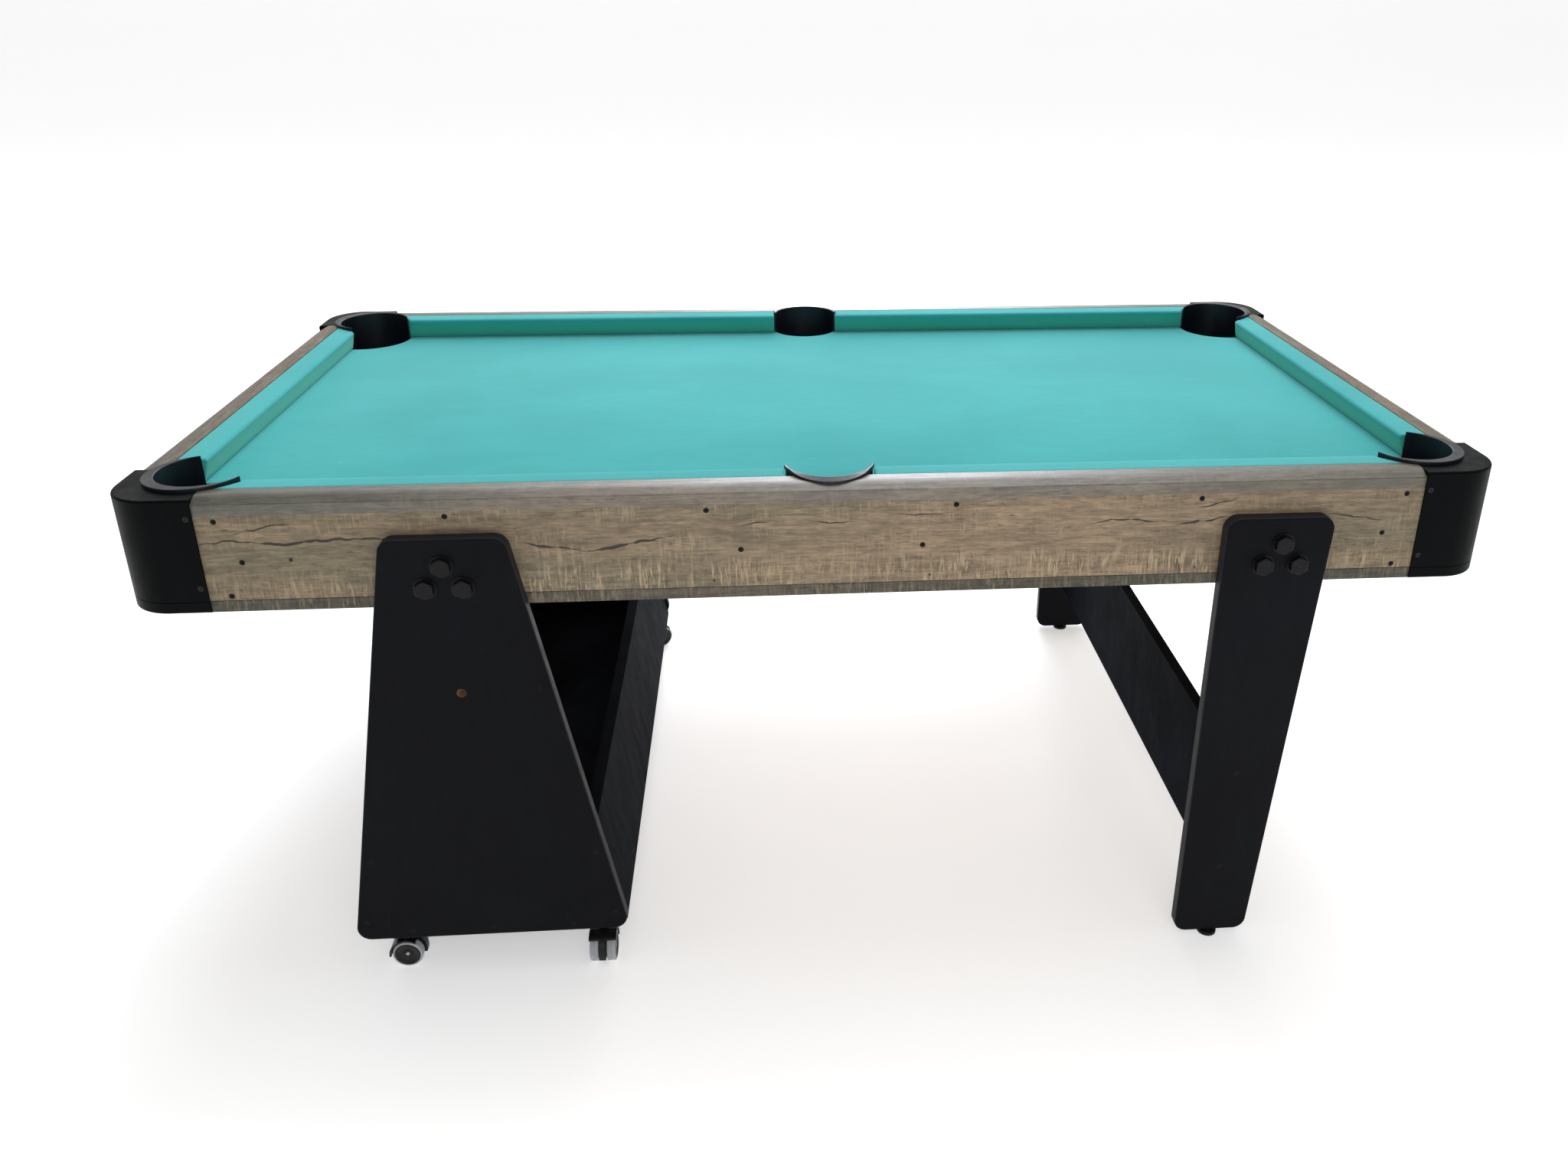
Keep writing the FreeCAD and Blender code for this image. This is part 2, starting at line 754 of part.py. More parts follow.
def make_corner_liner(corner):
    tag = "_corner_" + corner
    front = box("front" + tag, ("corner_mouth", "-tool_reach", UNDER_BOARD),
                ("tool_reach", "tool_reach", "2 * rail_top"))
    collar_place = ("sqrt(2) * corner_collar_centre", "0")
    liner = make_liner(tag, CORNER_LENS, collar_place, "corner_collar", [front])
    keep("pocket_" + corner, on_corner(liner, corner, 45))


def make_side_liner(side):
    """Between two cushions; the wall's ends turn into short wings behind them."""
    tag = "_side_" + side
    mouth = box("mouth" + tag, ("-tool_reach", "side_mouth", UNDER_BOARD),
                ("tool_reach", "tool_reach", "2 * rail_top"))
    wing = box("wing" + tag, ("-tool_reach", "side_wing", UNDER_BOARD),
               ("tool_reach", "tool_reach", "bed_top + pocket_gap"))
    liner = make_liner(tag, SIDE_LENS, ("0", "side_collar_centre"), "side_collar", [mouth, wing])
    keep("pocket_middle_" + side, on_side(liner, side))


def make_corner_blocks():
    """Diagonal wooden blocks that tie neighbouring aprons together in each corner."""
    near_face, far_face = value("block_face - block_thick"), value("block_face")
    inset = value("sqrt(2) * apron_thick")
    outline = [(near_face, inset - near_face), (far_face, inset - far_face),
               (far_face, far_face - inset), (near_face, near_face - inset)]
    points = [FreeCAD.Vector(along, across, value("block_under")) for along, across in outline]
    rise = FreeCAD.Vector(0, 0, value("block_height"))
    prism = Part.Face(Part.makePolygon(points + points[:1])).extrude(rise)
    blocks = []
    for at_x, at_y, turn in CORNERS.values():
        block = prism.copy()
        block.Placement = FreeCAD.Placement(FreeCAD.Vector(value(at_x), value(at_y), 0),
                                            FreeCAD.Rotation(Z_AXIS, turn + 45))
        blocks.append(block)
    group("corner_blocks", blocks)


# ------------------------------------------------------------------ the bed

def make_bed_layer(name, low, high):
    """The board, or the cloth stretched over it, with its six pocket openings."""
    edge = "apron_thick + board_gap"
    long_half = "%s - (%s)" % (HALF_LENGTH, edge)
    wide_half = "%s - (%s)" % (HALF_WIDTH, edge)
    blank = box(name + "_blank", ("-(%s)" % long_half, "-(%s)" % wide_half, low),
                (long_half, wide_half, high))
    tools = []
    for corner in CORNERS:
        tag = "_%s_%s" % (name, corner)
        hole = lens(tag, CORNER_LENS, "liner_wall + pocket_gap", low, high)
        clip = box("clip" + tag, ("0", "-tool_reach", low), ("board_corner", "tool_reach", high))
        tools.append(on_corner(fuse("corner_cut" + tag, hole, clip), corner, 45))
    for side in ("front", "back"):
        tag = "_%s_%s" % (name, side)
        opening = lens(tag, SIDE_LENS, "liner_wall + pocket_gap", low, high)
        slot = box("slot" + tag, ("-side_front_centre", "0", low),
                   ("side_front_centre", "side_front_centre", high))
        tools.append(on_side(fuse("side_cut" + tag, opening, slot), side))
    keep(name, cut(name, blank, *tools))


def make_beams():
    """Cross beams under the board, from apron to apron."""
    beams = []
    low = value("bed_top - cloth_thick - board_thick - beam_height")
    half = value("cabinet_width / 2 - apron_thick")
    for place_x in BEAM_PLACES:
        start = FreeCAD.Vector(place_x - value("beam_thick") / 2, -half, low)
        beams.append(Part.makeBox(value("beam_thick"), 2 * half, value("beam_height"), start))
    group("cross_beams", beams)


# ---------------------------------------------------------- the left base

def through_panels(spots):
    """Screws driven through the front and the back panel at (x, height) spots."""
    outside = value("cabinet_width / 2 + panel_thick")
    return [((across, sign * outside, up), (0, -sign, 0), PANEL_SCREW_LENGTH)
            for across, up in spots for sign in (-1, 1)]


def side_board_screws(side_sign):
    spots = []
    for up in BASE_SCREW_HEIGHTS:
        edge = value("base_top_half + base_slope * (base_top - %d)" % up)
        half = edge - value("(side_board_inset + panel_thick / 2) * sqrt(1 + base_slope * base_slope)")
        spots.append((side_sign * half - value("base_centre"), up))
    return through_panels(spots)


def floor_screws():
    up = value("base_floor_under + panel_thick / 2")
    return through_panels([(shift - value("base_centre"), up) for shift in BASE_FLOOR_SCREWS])


def brace_screws():
    return through_panels(BRACE_SCREWS)


def panel_screw_places():
    return side_board_screws(-1) + side_board_screws(1) + floor_screws() + brace_screws()


def panel_room(sign):
    spots = [spot for spot in panel_screw_places() if spot[0][1] * sign > 0]
    return bolt_room(sign) + screw_rooms(spots)


def panel_blank(name, outline, sign):
    """A flat black panel, upright in the XZ plane, with rounded corners and a
    rounded rim on its outer face."""
    piece = body(name + "_panel")
    drawing = polygon(sketch(piece, name + "_outline", "XZ_Plane"), outline)
    pad(piece, drawing, "panel_thick", backwards=sign > 0)
    middle = sign * value("panel_thick") / 2
    round_edges(piece, "panel_round", lambda spot: near(spot.y, middle))
    outer = sign * value("panel_thick")
    round_edges(piece, "panel_rim", lambda spot: near(spot.y, outer))
    return piece


def make_base_panel(name, outline, sign):
    piece = panel_blank(name, outline, sign)
    hole = circle(sketch(piece, name + "_peep", "XZ_Plane"), "-base_centre", "peep_hole_up", "peep_hole")
    pocket(piece, hole, "4 * panel_thick", middle=True)
    place(piece, "0", "%d * cabinet_width / 2" % sign, "0")
    keep(name, cut(name, piece, holes(name + "_holes", panel_room(sign))))


# The slanted boards' upright section: the slope's stretch, where their outer faces
# would meet the floor, and how wide they are when cut level
LEAN = "sqrt(1 + base_slope * base_slope)"
SIDE_BOARD_EDGE = "(base_top_half + base_slope * base_top - side_board_inset * %s)" % LEAN
SIDE_BOARD_WIDE = "(panel_thick * %s)" % LEAN


def make_base():
    lower_half = "(base_top_half + base_slope * (base_top - base_bottom))"
    outline = [("-base_centre - " + lower_half, "base_bottom"),
               ("-base_centre + " + lower_half, "base_bottom"),
               ("-base_centre + base_top_half", "base_top"),
               ("-base_centre - base_top_half", "base_top")]
    make_base_panel("base_panel_front", outline, -1)
    make_base_panel("base_panel_back", outline, 1)
    make_side_board("base_side_left", -1)
    make_side_board("base_side_right", 1)
    make_base_floor()


def make_side_board(name, sign):
    """A slanted board between the two base panels; it closes one end of the bin."""
    piece = body(name + "_board")
    low, high = "base_floor_under", "side_board_top"
    corners = []
    for up, deeper in ((low, "0"), (high, "0"), (high, SIDE_BOARD_WIDE), (low, SIDE_BOARD_WIDE)):
        reach = "%s - base_slope * %s - %s" % (SIDE_BOARD_EDGE, up, deeper)
        corners.append(("-base_centre + %d * (%s)" % (sign, reach), up))
    drawing = polygon(sketch(piece, name + "_outline", "XZ_Plane"), corners)
    pad(piece, drawing, "cabinet_width", middle=True)
    keep(name, cut(name, piece, holes(name + "_holes", screw_rooms(side_board_screws(sign)))))


def make_base_floor():
    reach = "%s - base_slope * (base_floor_under + panel_thick) - %s" % (SIDE_BOARD_EDGE, SIDE_BOARD_WIDE)
    floor = box("base_floor_board", ("-base_centre - (%s)" % reach, "-cabinet_width / 2", "base_floor_under"),
                ("-base_centre + (%s)" % reach, "cabinet_width / 2", "base_floor_under + panel_thick"))
    room = screw_rooms(floor_screws() + plate_screw_places())
    keep("base_floor", cut("base_floor", floor, holes("base_floor_holes", room)))


# ---------------------------------------------------------- the right legs

def make_legs():
    outline = [("leg_inner", "leg_bottom"), ("leg_outer_foot", "leg_bottom"),
               ("leg_outer_top", "base_top"), ("leg_inner", "base_top")]
    for name, sign in (("leg_front", -1), ("leg_back", 1)):
        piece = place(panel_blank(name, outline, sign), "0", "%d * cabinet_width / 2" % sign)
        under = ("foot_centre", "%d * (cabinet_width + panel_thick) / 2" % sign, "leg_bottom")
        wide = cylinder(name + "_insert_room", under, "insert_outer", "insert_height")
        deep = cylinder(name + "_stem_room", under, "foot_stem + foot_room",
                        "foot_stem_top + foot_room_above")
        drilled = cut(name + "_drilled", piece, wide, deep)
        keep(name, cut(name, drilled, holes(name + "_holes", panel_room(sign))))
    make_brace()


def make_brace():
    """The upright board between the two legs."""
    board = box("leg_brace_board", ("brace_centre - panel_thick / 2", "-cabinet_width / 2", "brace_under"),
                ("brace_centre + panel_thick / 2", "cabinet_width / 2", "brace_under + brace_height"))
    keep("leg_brace", cut("leg_brace", board, holes("leg_brace_holes", screw_rooms(brace_screws()))))


def make_feet():
    """Levelling feet: a pad, a collar and a stem that screws up into an insert."""
    profile = [("0", "0"), ("foot_pad", "0"), ("foot_pad", "foot_pad_height - foot_pad_edge"),
               ("foot_pad - foot_pad_edge", "foot_pad_height"), ("foot_collar", "foot_pad_height"),
               ("foot_collar", "leg_bottom - swivel_gap"), ("foot_stem", "leg_bottom - swivel_gap"),
               ("foot_stem", "foot_stem_top"), ("0", "foot_stem_top")]
    inserts = []
    for name, sign in (("foot_front", -1), ("foot_back", 1)):
        piece = body(name)
        revolve(piece, polygon(sketch(piece, name + "_profile", "XZ_Plane"), profile))
        across = "%d * (cabinet_width + panel_thick) / 2" % sign
        keep(name, place(piece, "foot_centre", across))
        start = FreeCAD.Vector(value("foot_centre"), value(across), value("leg_bottom"))
        height = value("insert_height")
        ring = Part.makeCylinder(value("insert_outer"), height, start)
        inserts.append(ring.cut(Part.makeCylinder(value("foot_stem + foot_fit"), height, start)))
    group("foot_inserts", inserts)


# -------------------------------------------------------------- the casters

def caster_point(corner):
    across, back, _ = CASTERS[corner]
    return ("-base_centre + %d * caster_across" % across, "%d * caster_back" % back)


def plate_screws(corner):
    """Four screws up through one caster's plate."""
    inset = value("plate_half - plate_screw_inset")
    at_x, at_y = (value(text) for text in caster_point(corner))
    under = value("base_floor_under - plate_thick")
    return [((at_x + across, at_y + back, under), (0, 0, 1), PLATE_SCREW_LENGTH)
            for across in (-inset, inset) for back in (-inset, inset)]


def plate_screw_places():
    return [spot for corner in CASTERS for spot in plate_screws(corner)]


def make_caster_plate(corner):
    """A screwed plate with the round stem that the hood turns on."""
    half, thick = value("plate_half"), value("plate_thick")
    under = value("base_floor_under - plate_thick")
    at_x, at_y = (value(text) for text in caster_point(corner))
    plate = Part.makeBox(2 * half, 2 * half, thick, FreeCAD.Vector(at_x - half, at_y - half, under))
    upright = [edge for edge in plate.Edges if near(edge.CenterOfMass.z, under + thick / 2)]
    plate = plate.makeFillet(value("plate_round"), upright)
    stem_foot = FreeCAD.Vector(at_x, at_y, value("stem_under"))
    stem = Part.makeCylinder(value("stem_size"), under + thick - stem_foot.z, stem_foot)
    return plate.fuse(stem).removeSplitter().cut(screw_rooms(plate_screws(corner)))


def make_caster_plates():
    group("caster_plates", [make_caster_plate(corner) for corner in CASTERS])
    group("caster_screws", [screw_shape(*spot) for spot in plate_screw_places()])


def make_caster(corner):
    """A twin-wheel caster about its stem: the wheels' axle trails along +x."""
    tag = "_" + corner
    hood = make_hood(tag)
    wheels = doc.addObject("Part::Compound", "caster_wheels" + tag)
    wheels.Links = [make_wheel(tag, 1), make_wheel(tag, -1), make_axle(tag)]
    at_x, at_y = caster_point(corner)
    turn = CASTERS[corner][2]
    keep("caster_hood" + tag, place(hood, at_x, at_y, "0", turn))
    keep("caster_wheels" + tag, place(wheels, at_x, at_y, "0", turn))


def make_hood(tag):
    """The cover over both wheels, with a web between them and a post for the stem."""
    shell = "wheel_size + hood_gap + hood_wall"
    outer = level_rod("hood_outer" + tag, shell, "hood_half")
    inner = level_rod("hood_inner" + tag, "wheel_size + hood_gap", "hood_half + hole_overrun")
    upper = box("hood_upper" + tag, ("-tool_reach", "-tool_reach", "wheel_size - hood_below_axle"),
                ("trail + hood_front", "tool_reach", "tool_reach"))
    cover = common("hood_cover" + tag, cut("hood_ring" + tag, outer, inner), upper)
    web_upper = box("web_upper" + tag, ("-tool_reach", "-tool_reach", "wheel_size - web_below_axle"),
                    ("tool_reach", "tool_reach", "tool_reach"))
    web = common("hood_web" + tag, level_rod("web_disc" + tag, shell, "web_half"), web_upper)
    post = cylinder("hood_post" + tag, ("0", "0", "boss_under"), "boss_size",
                    "base_floor_under - plate_thick - swivel_gap - boss_under")
    stem_room = cylinder("stem_room" + tag, ("0", "0", "stem_under - stem_end_gap"),
                         "stem_size + caster_fit", "base_floor_under")
    axle_room = level_rod("axle_room" + tag, "axle_size + caster_fit", "tool_reach")
    return cut("caster_hood" + tag, fuse("hood_solid" + tag, cover, web, post), stem_room, axle_room)


def level_rod(name, radius, half):
    """A cylinder about the caster's axle, reaching half its length each way."""
    return cylinder(name, ("trail", "-(%s)" % half, "wheel_size"), radius, "2 * (%s)" % half,
                    FreeCAD.Vector(0, 1, 0))


def make_wheel(tag, sign):
    """One wheel with a rounded tread and a dished hub, lying on the y axis."""
    piece = body("wheel%s_%s" % (tag, "outer" if sign > 0 else "inner"))
    low, high = "wheel_inside", "wheel_inside + wheel_width"
    profile = [("axle_size", low), ("wheel_size - wheel_edge", low), ("wheel_size", low + " + wheel_edge"),
               ("wheel_size", high + " - wheel_round"), ("wheel_size - wheel_round", high),
               ("hub_size", high), ("hub_size - wheel_edge", high + " - hub_recess"),
               ("axle_size", high + " - hub_recess")]
    revolve(piece, polygon(sketch(piece, piece.Name + "_profile", "XY_Plane"), profile))
    place(piece, "trail", "0", "wheel_size", 0 if sign > 0 else 180)
    return piece


def make_axle(tag):
    return level_rod("axle" + tag, "axle_size", "wheel_inside + wheel_width - wheel_edge")


# ---------------------------------------------------------------- the table

def make_screw_groups():
    aprons, caps = [], []
    for side in SIDES:
        aprons += [screw_shape(*spot) for spot in apron_screw_places(side)]
        caps += [screw_shape(*spot) for spot in cap_screw_places(side)]
    group("apron_screws", aprons)
    group("cap_screws", caps)
    group("panel_screws", [screw_shape(*spot) for spot in panel_screw_places()])


def make_table():
    for side in SIDES:
        make_apron(side)
        make_trim(side)
        make_rail(side)
    make_batten_group()
    make_cushions()
    for corner in CORNERS:
        make_cap(corner)
        make_corner_liner(corner)
    make_side_liner("front")
    make_side_liner("back")
    make_corner_blocks()
    board_low = "bed_top - cloth_thick - board_thick"
    make_bed_layer("bed_board", board_low, "bed_top - cloth_thick")
    make_bed_layer("bed_cloth", "bed_top - cloth_thick", "bed_top")
    make_beams()
    make_base()
    make_legs()
    make_feet()
    make_caster_plates()
    for corner in CASTERS:
        make_caster(corner)
    make_leg_bolts()
    make_screw_groups()


def check_and_write():
    doc.recompute()
    for thing in doc.Objects:
        if "Invalid" in thing.State or "Error" in thing.State:
            raise ValueError("%s failed: %s" % (thing.Name, thing.State))
    for name, thing in parts.items():
        if thing.Shape.isNull() or not thing.Shape.isValid():
            raise ValueError(name + " has no valid shape")
    os.makedirs("parts", exist_ok=True)
    for name, thing in parts.items():
        thing.Shape.exportStep("parts/%s.step" % name)
        solids = thing.Shape.Solids
        print("%-28s %3d solids %12.0f mm3" % (name, len(solids), sum(solid.Volume for solid in solids)))
    print(len(parts), "nodes")


make_table()
check_and_write()
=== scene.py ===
import json
import math
import random

import bmesh
import bpy
from mathutils import Matrix, Vector, noise


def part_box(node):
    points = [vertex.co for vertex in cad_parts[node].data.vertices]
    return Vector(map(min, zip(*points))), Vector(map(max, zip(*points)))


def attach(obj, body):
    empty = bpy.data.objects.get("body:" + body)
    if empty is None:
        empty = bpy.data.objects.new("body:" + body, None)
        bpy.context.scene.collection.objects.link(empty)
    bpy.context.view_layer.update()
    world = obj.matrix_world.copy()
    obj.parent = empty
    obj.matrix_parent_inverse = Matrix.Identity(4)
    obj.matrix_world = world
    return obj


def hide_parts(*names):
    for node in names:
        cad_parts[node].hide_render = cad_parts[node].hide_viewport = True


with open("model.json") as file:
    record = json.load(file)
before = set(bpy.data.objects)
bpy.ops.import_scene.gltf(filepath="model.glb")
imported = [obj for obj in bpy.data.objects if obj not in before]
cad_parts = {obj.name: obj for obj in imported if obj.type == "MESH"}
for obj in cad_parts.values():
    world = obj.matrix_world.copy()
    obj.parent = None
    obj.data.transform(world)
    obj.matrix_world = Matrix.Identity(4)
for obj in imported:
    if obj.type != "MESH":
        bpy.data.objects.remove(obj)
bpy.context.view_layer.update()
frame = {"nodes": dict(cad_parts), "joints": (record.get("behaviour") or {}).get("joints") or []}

# A six-foot pool table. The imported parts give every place; this script gives them their
# finishes and makes the felt, the cushions, the pocket liners and the caster wheels.
# Metres, +X along the cabinet towards the two tapered legs, +Z up.

MM = 0.001

CORNERS = {
    "front_left": (-1, -1),
    "front_right": (1, -1),
    "back_right": (1, 1),
    "back_left": (-1, 1),
}
CASTERS = ("front_left", "front_right", "back_left", "back_right")

# The cabinet's own edges, from its aprons
HALF_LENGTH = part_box("apron_right")[1].x
HALF_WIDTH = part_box("apron_back")[1].y
RAIL_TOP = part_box("rail_front")[1].z
BED_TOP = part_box("bed_cloth")[1].z
RAIL_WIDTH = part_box("rail_front")[1].y + HALF_WIDTH
NOSE_HEIGHT = RAIL_TOP - 6 * MM

# Pockets. A corner pocket's distances run inwards from the cabinet's corner along the
# diagonal, and a side pocket's inwards from the cabinet's long side
CORNER_CENTRE = 98.7 * MM * math.sqrt(2)
CORNER_HOLE = 62 * MM
CORNER_COLLAR_CENTRE = 90.9 * MM * math.sqrt(2)
CORNER_COLLAR = 67.1 * MM
CORNER_MOUTH = 160 * MM
CORNER_FRONT_CENTRE = 109 * MM
CORNER_FRONT = 77.2 * MM
SIDE_HOLE = 60 * MM
SIDE_BACK_CENTRE = 81.7 * MM
SIDE_FRONT_CENTRE = 39 * MM
SIDE_COLLAR = 58.5 * MM
SIDE_COLLAR_CENTRE = 67 * MM
SIDE_MOUTH = 69.5 * MM
SIDE_WING = 60.5 * MM
SIDE_HORN = 4.5 * MM
# The side collar's top falls outwards by this much where it is wide: it starts to fall
# at the first width and has fallen wholly at the second
SIDE_FALL = 3 * MM
SIDE_FALL_FROM = 6 * MM
SIDE_FALL_WHOLE = 13 * MM
LINER_WALL = 2.5 * MM
ROUND_STEPS = 96
CUP_TOP = BED_TOP - 16.3 * MM
CUP_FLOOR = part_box("pocket_front_left")[0].z
COLLAR_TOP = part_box("pocket_front_left")[1].z


# ---------------------------------------------------------------- materials

def paint(red, green, blue):
    """A colour given as the eye sees it, 0 to 255, in Blender's linear values."""
    linear = []
    for part in (red, green, blue):
        share = part / 255
        linear.append(share / 12.92 if share <= 0.04045 else ((share + 0.055) / 1.055) ** 2.4)
    return (*linear, 1.0)


class Look:
    """One procedural material. Its methods add nodes and return their outputs."""

    def __init__(self, name, **shader):
        self.material = bpy.data.materials.new(name)
        self.material.use_nodes = True
        self.tree = self.material.node_tree
        self.shader = self.tree.nodes["Principled BSDF"]
        for socket, setting in shader.items():
            self.shader.inputs[socket.replace("_", " ")].default_value = setting
        self.place = self.node("TexCoord").outputs["Object"]
        split = self.node("SeparateXYZ", self.place)
        self.x, self.y, self.z = split.outputs

    def node(self, kind, *values, **settings):
        made = self.tree.nodes.new("ShaderNode" + kind)
        for name, setting in settings.items():
            setattr(made, name, setting)
        for index, value in enumerate(values):
            self.feed(made.inputs[index], value)
        return made

    def feed(self, socket, value):
        if isinstance(value, bpy.types.NodeSocket):
            self.tree.links.new(value, socket)
        else:
            socket.default_value = value

    def math(self, operation, first, second=0.0):
        return self.node("Math", first, second, operation=operation).outputs[0]

    def add(self, first, second):
        return self.math("ADD", first, second)

    def times(self, first, second):
        return self.math("MULTIPLY", first, second)

    def less(self, first, second):
        return self.math("SUBTRACT", first, second)

    def point(self, across, back, up):
        return self.node("CombineXYZ", across, back, up).outputs[0]

    def scaled(self, vector, factors):
        return self.node("VectorMath", vector, factors, operation="MULTIPLY").outputs[0]

    def noise(self, vector, scale, detail=2.0, roughness=0.5, twist=0.0):
        made = self.node("TexNoise")
        for name, value in (("Vector", vector), ("Scale", scale), ("Detail", detail),
                            ("Roughness", roughness), ("Distortion", twist)):
            self.feed(made.inputs[name], value)
        return made.outputs["Fac"]

    def cells(self, vector, scale):
        made = self.node("TexVoronoi")
        self.feed(made.inputs["Vector"], vector)
        self.feed(made.inputs["Scale"], scale)
        return made.outputs["Distance"]

    def band(self, value, low, high, first=0.0, last=1.0):
        """Runs smoothly from first to last while the value goes from low to high."""
        made = self.node("MapRange", value, low, high, first, last)
        made.interpolation_type = "SMOOTHSTEP"
        return made.outputs[0]

    def mix(self, share, first, second, blend="MIX"):
        made = self.node("Mix", data_type="RGBA", blend_type=blend)
        for index, value in ((0, share), (6, first), (7, second)):
            self.feed(made.inputs[index], value)
        return made.outputs[2]

    def shade(self, colour, factor):
        """The colour made lighter or darker by a factor."""
        grey = self.node("CombineColor", factor, factor, factor).outputs[0]
        return self.mix(1.0, colour, grey, "MULTIPLY")

    def colour(self, value):
        self.feed(self.shader.inputs["Base Color"], value)

    def roughness(self, value):
        self.feed(self.shader.inputs["Roughness"], value)

    def relief(self, height, depth, strength):
        """Bump of a depth in metres."""
        made = self.node("Bump")
        made.inputs["Strength"].default_value = strength
        made.inputs["Distance"].default_value = depth
        self.feed(made.inputs["Height"], height)
        self.feed(self.shader.inputs["Normal"], made.outputs[0])


def crack(look, run, up, start, end, height, slope, width):
    """A printed crack along the grain: how far inside it a point lies, 0 to 1."""
    middle = (start + end) / 2
    travelled = look.less(run, middle)
    wander = look.noise(look.point(look.times(run, 13.0), height * 40, 0.3), 1.0, 3.0, 0.6)
    line = look.add(look.times(travelled, slope), look.times(look.less(wander, 0.5), 0.03))
    gap = look.math("ABSOLUTE", look.less(look.less(up, height), line))
    ends = look.math("ABSOLUTE", look.times(travelled, 2 / (end - start)))
    ragged = look.noise(look.point(look.times(run, 55.0), height * 90, 0.7), 1.0, 2.0, 0.6)
    fade = look.times(look.less(1.0, look.math("POWER", ends, 2.0)), look.band(ragged, 0.3, 0.6, 0.25, 1.3))
    half = look.times(fade, width / 2)
    return look.band(look.less(half, gap), -0.4 * MM, 0.3 * MM)


def strongest(look, masks):
    """The greatest of several masks at each point."""
    greatest = masks[0]
    for mask in masks[1:]:
        greatest = look.math("MAXIMUM", greatest, mask)
    return greatest


# Cracks printed on the front apron: start, end, height, slope, width
FRONT_CRACKS = [
    (-0.850, -0.560, 0.722, 0.020, 0.0032),
    (-0.795, -0.715, 0.740, 0.190, 0.0018),
    (-0.425, -0.338, 0.708, -0.190, 0.0034),
    (-0.345, -0.225, 0.708, 0.150, 0.0040),
    (-0.130, -0.075, 0.735, 0.030, 0.0016),
    (-0.035, 0.035, 0.733, -0.030, 0.0020),
    (0.088, 0.160, 0.742, 0.070, 0.0016),
    (0.360, 0.485, 0.721, 0.010, 0.0024),
    (0.478, 0.552, 0.720, 0.130, 0.0034),
    (0.510, 0.570, 0.745, 0.150, 0.0020),
    (0.700, 0.780, 0.721, -0.070, 0.0020),
]
# Dark round marks beside the apron's screws: place along the table, height, radius. The first stands for an
# open hole, its dark painted shade inside the hole; the others are printed pin marks
PIN_MARKS_AND_HOLE_SHADE = [(-0.720, 0.697, 0.0030), (-0.163, 0.649, 0.0018), (0.136, 0.649, 0.0018),
             (0.515, 0.649, 0.0016), (0.782, 0.697, 0.0016)]


def spot(look, run, up, place, height, radius):
    """1 inside a small round mark, 0 outside."""
    across = look.math("POWER", look.less(run, place), 2.0)
    rise = look.math("POWER", look.less(up, height), 2.0)
    return look.band(look.math("SQRT", look.add(across, rise)), radius * 0.75, radius * 1.1, 1.0, 0.0)


# Painted shade: the long sides' print is painted darker and a little greener towards the cabinet's ends,
# where less light falls
END_SHADE_TINT = (0.50, 0.60, 0.52, 1.0)


def board_grain(look, space, tones):
    """The print's colour, streaks and finest grain, before any mark across it."""
    tan, grey, dark = tones[:3]
    board = look.noise(look.scaled(space, (1.1, 12.0, 12.0)), 1.0, 3.0, 0.55, 0.4)
    colour = look.mix(look.band(board, 0.38, 0.62), tan, grey)
    patch = look.noise(look.scaled(space, (6.0, 14.0, 14.0)), 1.0, 3.0, 0.6)
    colour = look.shade(colour, look.band(patch, 0.3, 0.7, 0.87, 1.12))
    mottle = look.noise(look.scaled(space, (34.0, 120.0, 120.0)), 1.0, 4.0, 0.65, 0.6)
    colour = look.shade(colour, look.band(mottle, 0.32, 0.68, 0.78, 1.20))

    streak = look.noise(look.scaled(space, (9.0, 190.0, 190.0)), 1.0, 4.0, 0.65, 0.8)
    colour = look.shade(colour, look.band(streak, 0.30, 0.70, 0.79, 1.17))
    grain = look.noise(look.scaled(space, (60.0, 800.0, 800.0)), 1.0, 4.0, 0.7, 0.4)
    colour = look.shade(colour, look.band(grain, 0.3, 0.7, 0.80, 1.18))
    ticks = look.noise(look.scaled(space, (55.0, 420.0, 420.0)), 1.0, 2.0, 0.6, 0.5)
    crowd = look.noise(look.scaled(space, (12.0, 30.0, 30.0)), 1.0, 2.0)
    crowd = look.times(look.band(crowd, 0.45, 0.62, 0.25, 1.0), 0.75)
    colour = look.mix(look.times(look.band(ticks, 0.58, 0.68), crowd), colour, dark)
    return colour, streak, grain


def saw_marks(look, space, colour, tones, saw, saw_band):
    """The blade's light and dark marks across the grain. Returns the marked colour and
    the height that the marks add."""
    dark, bright = tones[2:]
    cut = look.noise(look.scaled(space, (330.0, 36.0, 36.0)), 1.0, 4.0, 0.7, 0.9)
    weave = look.noise(look.scaled(space, (210.0, 26.0, 26.0)), 1.0, 2.0, 0.6, 0.3)
    patches = look.band(look.noise(look.scaled(space, (14.0, 30.0, 30.0)), 1.0, 2.0), 0.46, 0.62)
    if saw_band:
        low, high = saw_band
        band = look.times(look.band(look.z, low, high, 1.0, 0.0), look.add(patches, 0.55))
        patches = look.math("MAXIMUM", look.times(patches, 0.45), band)
    blade = look.times(patches, saw)
    faint = look.times(blade, 0.7)
    colour = look.mix(look.times(look.band(weave, 0.53, 0.66), blade), colour, bright)
    colour = look.mix(look.times(look.band(cut, 0.53, 0.66), faint), colour, bright)
    colour = look.mix(look.times(look.band(cut, 0.45, 0.35), faint), colour, dark)
    return colour, look.times(cut, blade)


